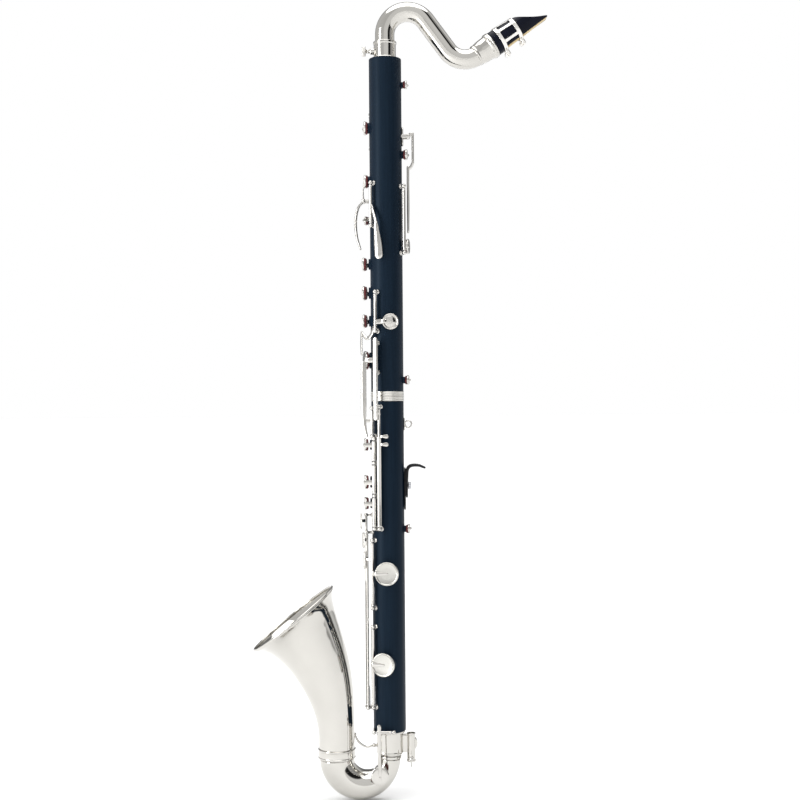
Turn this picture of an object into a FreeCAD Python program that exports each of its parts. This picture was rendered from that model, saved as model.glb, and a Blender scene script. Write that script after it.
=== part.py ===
"""Low bass clarinet: wooden body in two joints, metal neck, bow and bell, and its keywork.

Millimetres, +Z up along the body.  Shapes are laid out about the body's axis, with z = 0 at
the body's lower end, and moved at export so that the origin is the lower mouth of the floor
peg socket.  Angle 0 about the body is the player's side (+X) and 180 the front (-X).
"""
import FreeCAD, Part
import math
import os

V = FreeCAD.Vector
UP = V(0, 0, 1)

# ---- driving dimensions -------------------------------------------------------------
ORIGIN = V(28.0, 0.0, -42.0)      # lower mouth of the peg socket, in layout coordinates
BODY_R = 21.3                     # outside of the wooden joints
BORE_R = 11.7
BODY_TOP = 884.0
JOINT_Z = 439.9                   # where the two joints meet
BAND_H = 6.3
BAND_R = 21.7
SEAT_R = 23.5                     # flat top of every tone-hole chimney, from the axis
PAD_GAP = 0.05
PAD_TOP = 27.0                    # back of a closed pad
CUP_LOW = 25.4
CUP_TOP = 28.9
HINGE_R = 26.6                    # distance of the key hinges from the body's axis
TUBE_R = 2.2
ROD_R = 1.15
BORE_FIT = 0.05                   # running clearance between hinge rod and tube
POST_GAP = 0.3
BALL_R = 2.9
NECK_TURN = 2.0                   # the neck points this far off the bell's plane
NECK_R = 12.75
NECK_WALL = 1.3
SOCKET_TILT = 34.0                # mouthpiece axis above the horizontal
SOCKET_FROM = V(121.2, 0, 889.3)
SOCKET_LENGTH = 26.2
MOUTH_LENGTH = 79.0
BOW_R = 35.0                      # centre line of the bow
BOW_Z = -36.4
BELL_ARC_R = 258.0
BELL_ARC_Z = -13.4
BELL_FOOT_Z = -24.0
BELL_WALL = 1.2
# bell radius at distances along its centre line
BELL_SEAT = BOW_Z + 0.05 - BELL_FOOT_Z
BELL_PROFILE = [(BELL_SEAT, 23.7), (0, 23.7), (20, 23.8), (40, 25.2), (60, 28.0), (80, 31.6), (100, 35.4),
                (120, 39.1), (140, 43.6), (155, 47.9), (168, 53.0), (177, 58.8), (183.5, 66.0)]


# ---- geometry helpers ---------------------------------------------------------------
def turn(vector, degrees, axis=UP):
    return FreeCAD.Rotation(axis, degrees).multVec(vector)


def radial(phi):
    return turn(V(1, 0, 0), phi)


def polar(r, phi, z):
    return radial(phi) * r + V(0, 0, z)


def rod(start, end, r):
    return Part.makeCylinder(r, (end - start).Length, start, end - start)


def ring(r_out, r_in, z_low, z_high, x=0.0, y=0.0):
    base = V(x, y, z_low)
    outer = Part.makeCylinder(r_out, z_high - z_low, base)
    return outer.cut(Part.makeCylinder(r_in, z_high - z_low, base))


def ball(centre, r):
    return Part.makeSphere(r, centre)


def plate(p, q, width, thick, face):
    """A flat strip from p to q with round ends; its broad side looks along face."""
    along = (q - p).normalize()
    side = face.cross(along).normalize()
    normal = along.cross(side).normalize()
    s = side * (width / 2)
    e = along * (width / 2)
    low = normal * (-thick / 2)
    edges = [Part.LineSegment(p + s, q + s).toShape(), Part.Arc(q + s, q + e, q - s).toShape(),
             Part.LineSegment(q - s, p - s).toShape(), Part.Arc(p - s, p - e, p + s).toShape()]
    outline = Part.Wire(edges)
    outline.translate(low)
    return Part.Face(outline).extrude(normal * thick)


def fuse(shapes):
    return shapes[0].multiFuse(shapes[1:]).removeSplitter()


def softened(solid, radius, wanted):
    """Round the circular edges that `wanted` accepts."""
    edges = [e for e in solid.Edges if isinstance(e.Curve, Part.Circle) and wanted(e)]
    return solid.makeFillet(radius, edges) if edges else solid


def turned(profile, base, axis):
    """Solid of revolution: profile is (distance along axis, radius) pairs."""
    points = [V(r, 0, s) for s, r in profile]
    points.append(points[0])
    solid = Part.Face(Part.makePolygon(points)).revolve(V(0, 0, 0), UP, 360)
    solid.Placement = FreeCAD.Placement(base, FreeCAD.Rotation(UP, axis))
    return solid


# ---- keys ---------------------------------------------------------------------------
def hinge_tube(phi, z_low, z_high, r=TUBE_R, hinge_r=HINGE_R):
    at = polar(hinge_r, phi, 0)
    tube = ring(r, ROD_R + BORE_FIT, z_low, z_high, at.x, at.y)
    rings = [ring(r + 0.35, ROD_R + BORE_FIT, z, z + 1.2, at.x, at.y)
             for z in (z_low, z_high - 1.2)]
    return fuse([tube] + rings)


def cup(phi, z, size, top=CUP_TOP):
    """Round key cup over a tone hole, hollow below for its pad."""
    out = radial(phi)
    shell = Part.makeCylinder(size / 2, top - CUP_LOW, polar(CUP_LOW, phi, z), out)
    outer_edge = polar(top, phi, z)
    shell = softened(shell, 0.9, lambda e: (e.Curve.Center - outer_edge).Length < 0.01)
    return shell.cut(Part.makeCylinder(size / 2 - 0.7, PAD_TOP - CUP_LOW, polar(CUP_LOW, phi, z), out))


def pad(phi, z, size):
    foot = SEAT_R + PAD_GAP
    disc = Part.makeCylinder(size / 2 - 0.75, PAD_TOP - foot, polar(foot, phi, z), radial(phi))
    return softened(disc, 0.6, lambda e: (e.Curve.Center - polar(foot, phi, z)).Length < 0.01)


def arm(hinge_phi, cup_phi, z_tube, z_cup, size, width):
    """Strip from the hinge tube up to the rim of the cup and on to the middle of its back."""
    hinge = polar(HINGE_R, hinge_phi, z_tube)
    middle = polar(CUP_TOP + 0.2, cup_phi, z_cup)
    tangent = turn(radial(cup_phi), 90 if hinge_phi > cup_phi else -90)
    knee = polar(CUP_TOP + 0.2, cup_phi, (z_tube + z_cup) / 2) + tangent * (size / 2 - 0.2)
    face = radial((hinge_phi + cup_phi) / 2)
    return [plate(hinge, knee, width, 1.8, face), plate(knee, middle, width, 1.8, radial(cup_phi))]


def touch_plate(phi, r, z_low, z_high, width, thick=2.0, facing=None):
    """Finger touch lying along the body, its broad side looking outwards or to the angle `facing`."""
    half = width / 2
    face = radial(phi if facing is None else facing)
    return plate(polar(r, phi, z_low + half), polar(r, phi, z_high - half), width, thick, face)


# name: hinge angle, tube z range, list of (cup angle, z, size), degrees it stands open at rest,
# degrees of travel when played (positive lifts the cup, negative closes it)
KEYS = {
    "thumb_key": (-27, (631, 712), [(-2, 637, 20)], 7, -7),
    "lower_vent_key": (48, (742, 786), [(-4, 758, 14)], 0, 5),
    "upper_vent_key": (52, (796, 860), [(0, 850.6, 11)], 0, 8.2),
    "trill_key": (138, (772, 812), [(180, 793.6, 18)], 0, 8),
    "throat_gsharp_key": (222, (666, 716), [(170, 672, 12)], 0, 6),
    "left_index_key": (126, (600, 628), [(180, 614, 18)], 7, -7),
    "left_middle_key": (126, (562, 590), [(180, 576, 19)], 7, -7),
    "left_ring_key": (126, (525, 553), [(180, 539, 18)], 7, -7),
    "c_sharp_key": (236, (528, 573), [(280, 537, 21.5)], 0, 6),
    "b_natural_key": (236, (474, 506), [(186, 487, 25)], 5, -5),
    "side_b_flat_key": (48, (453, 480), [(-4, 461, 12.7)], 0, 8),
    "right_index_key": (228, (356, 381), [(180, 376, 17)], 7, -7),
    "right_middle_key": (228, (313.2, 349.6), [(180, 327, 19)], 7, -7),
    "right_ring_key": (228, (270, 306.8), [(180, 299, 17)], 7, -7),
    "side_f_sharp_key": (48, (232, 284), [(-4, 265, 12.5)], 0, 8),
    "low_e_key": (217.6, (166, 248), [(268, 209, 31)], 6, -6),
    "low_e_flat_key": (217.6, (36, 135), [(256, 90.5, 31)], 6, -6),
}


def hinge_point(name):
    phi = KEYS[name][0]
    return polar(HINGE_R, phi, 0)


def lift_sign(name):
    """+1 if turning by the right-hand rule about +Z lifts the key's cup off its hole."""
    phi, _, cups, _, _ = KEYS[name]
    lever = polar(CUP_TOP, cups[0][0], 0) - polar(HINGE_R, phi, 0)
    return 1 if UP.cross(lever).dot(radial(cups[0][0])) > 0 else -1


def key_metal(name):
    phi, (z_low, z_high), cups, _, _ = KEYS[name]
    shapes = [hinge_tube(phi, z_low, z_high)]
    for cup_phi, z, size in cups:
        z_tube = min(max(z, z_low + 4), z_high - 4)
        shapes += [cup(cup_phi, z, size)] + arm(phi, cup_phi, z_tube, z, size, min(6.0, size / 3))
    shapes += KEY_TOUCHES[name]() if name in KEY_TOUCHES else []
    bore = rod(polar(HINGE_R, phi, z_low - 1), polar(HINGE_R, phi, z_high + 1), ROD_R + BORE_FIT)
    return fuse(shapes).cut(bore)


def key_pads(name):
    return [pad(cup_phi, z, size) for cup_phi, z, size in KEYS[name][2]]


def stood_open(name, shape):
    """Turn a key made closed to the position in which its spring holds it."""
    degrees = KEYS[name][3] * lift_sign(name)
    turned_shape = shape.copy()
    turned_shape.rotate(hinge_point(name), UP, degrees)
    return turned_shape


def gsharp_touch():
    """Teardrop touch on the side of the upper joint."""
    stem = plate(polar(HINGE_R, 222, 690), polar(28.9, 245, 658), 4.5, 2.2, radial(233))
    leaf = plate(polar(28.9, 245, 655), polar(27.9, 249, 620), 11, 1.8, radial(247))
    return [stem, leaf]


def trill_touch():
    """Long side lever ending in a touch beside the player's hand."""
    lever = plate(polar(HINGE_R, 138, 776), polar(HINGE_R + 1, 100, 762), 4, 1.8, radial(119))
    return [lever, touch_plate(100, HINGE_R + 1, 700, 764, 6)]


def side_touch(z_arm, z_low, z_high):
    """Small touch that stands beside the hinge of a side key."""
    def build():
        lever = plate(polar(HINGE_R, 48, z_arm), polar(29.5, 78, z_arm), 4, 1.8, radial(62))
        return [lever, touch_plate(78, 29.5, z_low, z_high, 7)]
    return build


def csharp_touch():
    """Curved cradle beside the hinge, with its upright touch at the front."""
    cradle = plate(polar(HINGE_R, 236, 532), polar(34.0, 200, 522), 5, 2.0, radial(218))
    return [cradle, touch_plate(199, 35.0, 492, 527, 6)]


def low_e_touch():
    lever = plate(polar(HINGE_R, 217.6, 226), polar(33.5, 202, 226), 4, 1.8, radial(210))
    return [lever, touch_plate(201, 34.5, 214, 236, 7)]


KEY_TOUCHES = {
    "throat_gsharp_key": gsharp_touch,
    "trill_key": trill_touch,
    "c_sharp_key": csharp_touch,
    "side_f_sharp_key": side_touch(246, 236, 258),
    "side_b_flat_key": side_touch(461, 446, 468),
    "low_e_key": low_e_touch,
}


# ---- keys that do not hinge along the body ------------------------------------------------
REGISTER_PIVOT = V(30.0, 0, 782.0)
THROAT_A_PIVOT = V(-29.5, 0, 697.0)
BOW_KEY_PIVOT = V(-3.0, -26.0, 2.6)
BOW_KEY_SEAT = V(-13.0, -16.6, -54.0)
BOW_KEY_SIZE = 24.0
BOW_KEY_OPEN = 5.0
THROAT_PAD_Z = 723.0


def register_key():
    """Thumb lever behind the body: rocks on the saddle and is joined to the upper vent."""
    pivot_tube = rod(REGISTER_PIVOT - V(0, 4.5, 0), REGISTER_PIVOT + V(0, 4.5, 0), 2.4)
    link = rod(V(35.9, 0, 785), V(35.9, 0, 747), 1.6)
    head = plate(REGISTER_PIVOT, V(35.9, 0, 786), 4.5, 4.0, V(0, 1, 0))
    tail = plate(V(35.9, 0, 748), V(29.6, 0, 739), 4.0, 5.0, V(0, 1, 0))
    lever = plate(V(29.3, 0, 741), V(29.0, 0, 700), 5.0, 2.0, V(1, 0, 0))
    touch = plate(V(29.1, 0, 704), V(28.8, 0, 656), 8.0, 2.0, V(1, 0, 0))
    key = fuse([pivot_tube, link, head, tail, lever, touch])
    return key.cut(rod(REGISTER_PIVOT - V(0, 9, 0), REGISTER_PIVOT + V(0, 9, 0), ROD_R + BORE_FIT))


def throat_a_metal():
    """Rocker at the front: pad above its pivot, a bulging touch below."""
    pivot_tube = rod(THROAT_A_PIVOT - V(0, 5, 0), THROAT_A_PIVOT + V(0, 5, 0), 2.4)
    cup_back = V(-CUP_TOP - 0.2, 0, THROAT_PAD_Z)
    upper = plate(THROAT_A_PIVOT + V(-0.4, 0, 0), cup_back, 5.0, 2.0, V(1, 0, 0))
    bulge = [V(-30, 0, 697), V(-37.5, 0, 687), V(-40.5, 0, 670), V(-38.5, 0, 650), V(-34.5, 0, 634)]
    touch = [plate(a, b, 8.0, 2.0, V(1, 0, 0)) for a, b in zip(bulge, bulge[1:])]
    key = fuse([pivot_tube, cup(180, THROAT_PAD_Z, 18), upper] + touch)
    return key.cut(rod(THROAT_A_PIVOT - V(0, 9, 0), THROAT_A_PIVOT + V(0, 9, 0), ROD_R + BORE_FIT))


def bow_key_metal():
    """Lever over the collar, with its cup on the side of the bow."""
    out = V(0, -1, 0)
    back = BOW_KEY_SEAT + out * 5.2
    shell = Part.makeCylinder(BOW_KEY_SIZE / 2, 3.4, BOW_KEY_SEAT + out * 1.8, out)
    shell = softened(shell, 0.9, lambda e: (e.Curve.Center - back).Length < 0.01)
    shell = shell.cut(Part.makeCylinder(BOW_KEY_SIZE / 2 - 0.7, 1.7, BOW_KEY_SEAT + out * 1.8, out))
    elbow = V(-13.6, -27.2, -34)
    lever = plate(V(-13.6, -27.2, 12), elbow, 4.2, 2.2, V(0, 1, 0))
    drop = plate(elbow, back + V(0, -0.3, 4), 4.2, 2.2, V(0, 1, 0))
    spine = plate(back + V(0, -0.6, 6), back + V(0, -0.6, -6), 4.2, 1.6, V(0, 1, 0))
    start = V(-17.0, BOW_KEY_PIVOT.y, BOW_KEY_PIVOT.z)
    end = V(2.0, BOW_KEY_PIVOT.y, BOW_KEY_PIVOT.z)
    key = fuse([shell, lever, drop, spine, rod(start, end, TUBE_R)])
    return key.cut(rod(start - V(1, 0, 0), end + V(1, 0, 0), ROD_R + BORE_FIT))


def bow_key_pad():
    out = V(0, -1, 0)
    return Part.makeCylinder(BOW_KEY_SIZE / 2 - 0.8, 3.4, BOW_KEY_SEAT + out * PAD_GAP, out)


def bow_stood_open(shape):
    moved = shape.copy()
    moved.rotate(BOW_KEY_PIVOT, V(1, 0, 0), -BOW_KEY_OPEN)
    return moved


# name: (angle and radius of its line, tube z range, touch (angle, radius, z range), feet (angle, z))
LEVERS = {
    "left_low_e_lever": (222, 27.2, (391, 421), (212, 36.4, 396, 485), ((203, 408),)),
    "left_f_sharp_lever": (246, 27.2, (270, 423), (241.5, 32.0, 408, 517), ((267, 387.5), (267, 377))),
    "right_low_c_rod": (178, 29.4, (34, 280), (192, 36.5, 266, 286), ((164, 40),)),
    "right_low_d_rod": (196, 29.4, (34, 258), (207, 36.5, 242, 262), ((210, 148),)),
}
TOUCH_FACING = {"left_low_e_lever": 250}   # touches turned from the radial direction


def lever_key(name):
    """Long tube with a finger touch at one end and a short foot that works another key."""
    phi, r, (z_low, z_high), (touch_phi, touch_r, t_low, t_high), feet = LEVERS[name]
    at = polar(r, phi, 0)
    tube = rod(V(at.x, at.y, z_low), V(at.x, at.y, z_high), 1.9)
    z_arm = min(max((t_low + t_high) / 2, z_low + 4), z_high - 3)
    stem = plate(polar(r, phi, z_arm), polar(touch_r, touch_phi, z_arm), 4.5, 1.8,
                 radial((phi + touch_phi) / 2))
    touch = touch_plate(touch_phi, touch_r, t_low, t_high, 7.5, facing=TOUCH_FACING.get(name, touch_phi))
    ends = [plate(polar(r, phi, z), polar(r + 1.5, foot_phi, z), 4.5, 1.8, radial((phi + foot_phi) / 2))
            for foot_phi, z in feet]
    key = fuse([tube, stem, touch] + ends)
    bore = rod(V(at.x, at.y, z_low - 1), V(at.x, at.y, z_high + 1), ROD_R + BORE_FIT)
    return key.cut(bore)


# ---- body ---------------------------------------------------------------------------
def tone_holes():
    """(angle, z, pad size) of every chimney on the body."""
    holes = [c for key in KEYS.values() for c in key[2]]
    return holes + [(180, THROAT_PAD_Z, 18)]


def wooden_joint(z_low, z_high):
    wood = Part.makeCylinder(BODY_R, z_high - z_low, V(0, 0, z_low))
    wood = softened(wood, 0.8, lambda e: abs(e.Curve.Radius - BODY_R) < 0.01)
    own = [h for h in tone_holes() if z_low < h[1] < z_high]
    chimneys = [Part.makeCylinder(size / 2 - 1.9, SEAT_R - 15.0, polar(15.0, phi, z), radial(phi))
                for phi, z, size in own]
    wood = fuse([wood] + chimneys)
    wood = wood.cut(Part.makeCylinder(BORE_R, z_high - z_low, V(0, 0, z_low)))
    drills = [Part.makeCylinder((size / 2 - 1.9) * 0.72, SEAT_R, polar(1.0, phi, z), radial(phi))
              for phi, z, size in own]
    return wood.cut(fuse(drills))


def upper_joint():
    wood = wooden_joint(JOINT_Z, BODY_TOP)
    wood = wood.cut(ring(BODY_R + 1, BAND_R - 1.6, JOINT_Z - 1, JOINT_Z + BAND_H + 0.05))
    tenon = ring(15.6, BORE_R, JOINT_Z - 19, JOINT_Z)
    wood = wood.fuse(tenon).cut(ring(16, 14.6, JOINT_Z - 16, JOINT_Z - 3))
    socket = Part.makeCylinder(14.0, 12.0, V(0, 0, BODY_TOP - 12.0))
    return wood.cut(socket).removeSplitter()


def lower_joint():
    wood = wooden_joint(0.0, JOINT_Z)
    wood = wood.cut(ring(BODY_R + 1, BAND_R - 1.6, JOINT_Z - BAND_H - 0.05, JOINT_Z + 1))
    socket = Part.makeCylinder(15.75, 19.5, V(0, 0, JOINT_Z - 19.5))
    foot = Part.makeCylinder(14.0, 14.0, V(0, 0, 0))
    return wood.cut(socket).cut(foot)


def joint_band(z_low):
    band = ring(BAND_R, BAND_R - 1.6, z_low, z_low + BAND_H)
    return softened(band, 0.6, lambda e: abs(e.Curve.Radius - BAND_R) < 0.01)


def post(phi, z, hinge_r=HINGE_R, base_r=BODY_R - 1.0):
    """Ball-headed post whose ball holds the end of a hinge rod."""
    foot = Part.makeCylinder(3.2, 1.6, polar(BODY_R - 0.7, phi, z), radial(phi))
    stem = rod(polar(base_r, phi, z), polar(hinge_r, phi, z), 1.5)
    return fuse([foot, stem, ball(polar(hinge_r, phi, z), BALL_R)]).cut(
        rod(polar(hinge_r, phi, z - 5), polar(hinge_r, phi, z + 5), ROD_R))


def hinge_lines():
    """(angle, radius, z low, z high) of every hinge that lies along the body."""
    lines = [(k[0], HINGE_R, k[1][0], k[1][1]) for k in KEYS.values()]
    return lines + [(v[0], v[1], v[2][0], v[2][1]) for v in LEVERS.values()]


def post_places():
    """One post at each end of each hinge tube; neighbours on one line share a post."""
    places = []
    for phi, r, z_low, z_high in hinge_lines():
        for z in (z_low - BALL_R - POST_GAP, z_high + BALL_R + POST_GAP):
            close = [p for p in places if p[0] == phi and abs(p[2] - z) < 8]
            if not close:
                places.append((phi, r, z))
    return places


def posts(z_from, z_to, others):
    """All posts of one joint, those that meet being one piece."""
    ours = [post(phi, z, r) for phi, r, z in post_places() if z_from < z <= z_to]
    return fuse(ours + others).Solids


def throat_posts():
    """The pair of posts that hold the throat A rocker."""
    shapes = []
    for y in (-8.1, 8.1):
        at = V(THROAT_A_PIVOT.x, y, THROAT_A_PIVOT.z)
        shapes.append(fuse([rod(V(-17.5, y, at.z), at, 1.5), ball(at, 2.7)]).cut(
            rod(at - V(0, 5, 0), at + V(0, 5, 0), ROD_R + BORE_FIT)))
    return shapes


def bow_key_posts():
    shapes = []
    for x in (-20.2, 5.2):
        at = V(x, BOW_KEY_PIVOT.y, BOW_KEY_PIVOT.z)
        base = V(x, -math.sqrt((BODY_R - 1.0) ** 2 - min(abs(x), 20) ** 2), BOW_KEY_PIVOT.z)
        shapes.append(fuse([rod(base, at, 1.5), ball(at, 2.7)]).cut(
            rod(at - V(5, 0, 0), at + V(5, 0, 0), ROD_R)))
    return shapes


def hinge_rods(z_from, z_to):
    rods = []
    for phi, r, z_low, z_high in hinge_lines():
        if z_from <= z_low < z_to:
            rods.append(rod(polar(r, phi, z_low - 4.0), polar(r, phi, z_high + 4.0), ROD_R))
    return rods


def joined_rods(rods):
    """Rods that meet end to end on one hinge line become one rod each."""
    merged = fuse(rods)
    return list(merged.Solids)


def needle_springs():
    """One needle spring per hinge, from its lower post to the key's tube."""
    needles = []
    for phi, r, z_low, z_high in hinge_lines():
        length = min(24.0, (z_high - z_low) * 0.7)
        start = polar(r - 3.3, phi, z_low - 2.5)
        end = polar(r - 3.0, phi, z_low + length)
        needles.append(rod(start, end, 0.3))
    return needles


# ---- fittings -------------------------------------------------------------------------
def register_saddle():
    base = plate(V(22.2, 0, 792), V(22.2, 0, 772), 9.0, 2.6, V(1, 0, 0))
    ears = [plate(V(22.4, y, 782), V(30.0, y, 782), 5.0, 1.8, V(0, 1, 0)) for y in (-5.8, 5.8)]
    bridge = Part.makeBox(3.0, 13.4, 6.0, V(21.5, -6.7, 779))
    pin = rod(REGISTER_PIVOT - V(0, 6.6, 0), REGISTER_PIVOT + V(0, 6.6, 0), ROD_R)
    return fuse([base, bridge, pin] + ears)


def strap_ring():
    """Ring for the neck-strap hook, upright on the back of the body."""
    foot = plate(V(22.0, 0, 410), V(22.0, 0, 396), 7.0, 1.6, V(1, 0, 0))
    loop = Part.makeTorus(4.4, 1.1, V(27.2, 0, 403), V(0, 1, 0))
    return fuse([foot, loop])


def strap_ring_bore():
    """A flat-walled eye in the same ring, which the strap hook passes through."""
    return rod(V(27.2, -3, 403), V(27.2, 3, 403), 3.6)


def thumb_rest_plate():
    base = Part.makeBox(3.0, 15.0, 56.0, V(20.6, -7.5, 290))
    return base.cut(Part.makeCylinder(BODY_R + 0.02, 60, V(0, 0, 288)))


def thumb_rest_hook():
    """Sliding carriage whose top curls outwards over the player's thumb."""
    inner = Part.BSplineCurve()
    inner.interpolate([V(26.6, 0, 330), V(28.6, 0, 340), V(34.5, 0, 345.4), V(42, 0, 346.4),
                       V(48.2, 0, 344.2)])
    outer = Part.BSplineCurve()
    outer.interpolate([V(49.0, 0, 346.8), V(42, 0, 350.2), V(33.5, 0, 349.8), V(26.5, 0, 345.5),
                       V(24.1, 0, 336)])
    corners = [V(24.1, 0, 336), V(24.1, 0, 306), V(26.6, 0, 306), V(26.6, 0, 330)]
    straight = [Part.LineSegment(a, b).toShape() for a, b in zip(corners, corners[1:])]
    tip = Part.LineSegment(V(48.2, 0, 344.2), V(49.0, 0, 346.8)).toShape()
    outline = Part.Wire(straight + [inner.toShape(), tip, outer.toShape()])
    outline.translate(V(0, -6.5, 0))
    hook = Part.Face(outline).extrude(V(0, 13, 0))
    return hook.cut(rod(V(20, 0, 322), V(30, 0, 322), 2.05))


def thumb_rest_screw():
    """Clamp screw in the carriage, backed off the plate so that the carriage can slide."""
    shank = rod(V(23.9, 0, 322), V(27.2, 0, 322), 2.0)
    head = rod(V(26.7, 0, 322), V(30.4, 0, 322), 4.6)
    return fuse([shank, knurled(head, V(26.7, 0, 322), V(1, 0, 0), 4.6, 3.7, 18)])


def knurled(head, base, axis, r, height, grooves):
    """Cut fine straight grooves round a screw head."""
    side = axis.cross(V(0.3, 0.2, 1)).normalize()
    places = [base + turn(side, i * 360.0 / grooves, axis) * (r + 0.15) for i in range(grooves)]
    cutters = [Part.makeCylinder(0.45, height, place, axis) for place in places]
    return head.cut(fuse(cutters))


def peg_receiver():
    """Socket for the floor peg, held off the bow collar by a web."""
    outer = Part.makeCylinder(5.9, 38.0, V(28, 0, -42))
    outer = softened(outer, 0.6, lambda e: abs(e.Curve.Radius - 5.9) < 0.01)
    web = Part.makeBox(12.0, 5.0, 27.0, V(16.0, -2.5, -31.5))
    boss = rod(V(28, 0, -36.5), V(28, -9.5, -36.5), 3.2)
    body = fuse([outer, web, boss])
    body = body.cut(Part.makeCylinder(17.35, 60, V(0, 0, -50)))
    body = body.cut(Part.makeCylinder(4.05, 60, V(28, 0, -50)))
    return body.cut(rod(V(28, -3, -36.5), V(28, -12, -36.5), 1.55))


def peg_clamp_screw():
    shank = rod(V(28, -4.4, -36.5), V(28, -12.0, -36.5), 1.5)
    stem = rod(V(28, -9.9, -36.5), V(28, -12.5, -36.5), 2.4)
    wing = plate(V(28, -16.0, -40.5), V(28, -16.0, -32.5), 8.0, 2.2, V(1, 0, 0))
    return fuse([shank, stem, wing])


# ---- neck and mouthpiece ----------------------------------------------------------------
NECK_TOP = (V(30, 0, 917), 30.0)          # arc over the top: centre and radius
NECK_DIP = (V(105.7, 0, 912.3), 28.0)     # arc at the bottom of the S
NECK_FALL = -54.6                         # direction of the run between the arcs
RECEIVER_TOP = 907.5


def neck_path():
    """Centre line: up, over the top arc, down, round the lower arc and up to the socket."""
    c1, r1 = NECK_TOP
    c2, r2 = NECK_DIP
    on_top = [c1 + turn(V(r1, 0, 0), -a, V(0, 1, 0)) for a in (180, 107.7, 90 + NECK_FALL)]
    on_dip = [c2 + turn(V(r2, 0, 0), -a, V(0, 1, 0)) for a in (270 + NECK_FALL, 250.7, 270 + SOCKET_TILT)]
    return on_top, on_dip


def neck_pipe(r, z_low):
    """Round rod of radius r along the neck's centre line."""
    top, dip = neck_path()
    start = V(0, 0, z_low)
    edges = [Part.LineSegment(start, top[0]).toShape(), Part.Arc(*top).toShape(),
             Part.LineSegment(top[2], dip[0]).toShape(), Part.Arc(*dip).toShape(),
             Part.LineSegment(dip[2], SOCKET_FROM + socket_axis() * 4.0).toShape()]
    section = Part.Wire(Part.makeCircle(r, start, UP))
    return Part.Wire(edges).makePipeShell([section], True, False)


def socket_axis():
    return turn(V(1, 0, 0), -SOCKET_TILT, V(0, 1, 0))


def neck_tube():
    return neck_pipe(NECK_R, BODY_TOP - 8.0).cut(neck_pipe(NECK_R - NECK_WALL, BODY_TOP - 8.0))


def neck_receiver():
    """Metal socket let into the top of the body, which the neck turns in."""
    wall = ring(14.6, NECK_R + 0.06, BODY_TOP - 9.0, RECEIVER_TOP)
    wall = wall.cut(ring(15.5, 13.9, BODY_TOP - 9.5, BODY_TOP - 0.0))
    flange = ring(17.5, NECK_R + 0.06, BODY_TOP + 0.02, BODY_TOP + 2.0)
    lip = ring(15.3, NECK_R + 0.06, RECEIVER_TOP - 3.0, RECEIVER_TOP)
    boss = rod(V(-13.4, 0, 895), V(-19.5, 0, 895), 4.2)
    collar = fuse([wall, flange, lip, boss])
    collar = collar.cut(Part.makeCylinder(NECK_R + 0.06, 60, V(0, 0, 860)))
    return collar.cut(rod(V(-12, 0, 895), V(-22, 0, 895), 1.85))


def neck_clamp_screw():
    shank = rod(V(-13.2, 0, 895), V(-21, 0, 895), 1.8)
    stem = rod(V(-20.0, 0, 895), V(-25.5, 0, 895), 2.6)
    head = Part.makeCylinder(6.6, 4.6, V(-25.5, 0, 895), V(-1, 0, 0))
    head = softened(head, 0.8, lambda e: abs(e.Curve.Radius - 6.6) < 0.01)
    return fuse([shank, stem, knurled(head, V(-25.5, 0, 895), V(-1, 0, 0), 6.6, 4.6, 20)])


def neck_socket():
    """Flared cup on the neck's end that takes the mouthpiece's tenon."""
    outer = [(0, 13.4), (3.0, 14.6), (SOCKET_LENGTH - 6, 15.4), (SOCKET_LENGTH - 4.5, 17.1),
             (SOCKET_LENGTH, 17.1)]
    inner = [(SOCKET_LENGTH, 12.6), (4.2, 12.2), (4.2, 11.4), (0, 11.4)]
    solid = turned([(s, r) for s, r in outer + inner], SOCKET_FROM, socket_axis())
    return solid.cut(neck_pipe(NECK_R, BODY_TOP - 8.0))


def mouth_frame(shape):
    """Put a shape made about +Z (its +X the upper side) on the mouthpiece's axis."""
    end = SOCKET_FROM + socket_axis() * SOCKET_LENGTH
    turned_up = FreeCAD.Rotation(V(0, 1, 0), 90 - SOCKET_TILT).multiply(FreeCAD.Rotation(UP, 180))
    moved = shape.copy()
    moved.Placement = FreeCAD.Placement(end, turned_up)
    return moved


TENON = 20.0
BASE_R = 16.4
BEAK_FROM = 40.7
BEAK_R = 14.4
TIP_DROP = 10.6
TABLE_FROM = 9.0
TABLE_DROP = 13.4


def mouthpiece():
    """Round shank with a sloping beak above and a flat table below."""
    profile = [(-TENON, 0), (-TENON, 11.0), (0.35, 11.0), (0.35, BASE_R - 0.5), (0.9, BASE_R),
               (BEAK_FROM, BEAK_R), (MOUTH_LENGTH, 11.6), (MOUTH_LENGTH, 0)]
    blank = turned(profile, V(0, 0, 0), UP)
    beak = [V(BEAK_R + 0.4, 0, BEAK_FROM), V(4.4, 0, 56), V(-4.4, 0, 70),
            V(-TIP_DROP + 1.4, 0, MOUTH_LENGTH + 0.2), V(30, 0, MOUTH_LENGTH + 0.2), V(30, 0, BEAK_FROM)]
    wedge = Part.Face(Part.makePolygon([p - V(0, 25, 0) for p in beak + beak[:1]])).extrude(V(0, 50, 0))
    under = [V(-TABLE_DROP, 0, TABLE_FROM), V(-TIP_DROP, 0, MOUTH_LENGTH + 1), V(-30, 0, MOUTH_LENGTH + 1),
             V(-30, 0, TABLE_FROM)]
    table = Part.Face(Part.makePolygon([p - V(0, 25, 0) for p in under + under[:1]])).extrude(V(0, 50, 0))
    bore = turned([(-TENON - 1, 0), (-TENON - 1, 7.6), (30, 7.0), (44, 4.0), (44, 0)], V(0, 0, 0), UP)
    window = Part.makeBox(20, 8.0, 42.0, V(-22, -4.0, 34))
    solid = blank.cut(wedge).cut(table).cut(bore)
    window = window.cut(Part.makeBox(30, 30, 60, V(-4.5, -15, 30)))
    return mouth_frame(solid.cut(window))


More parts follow.
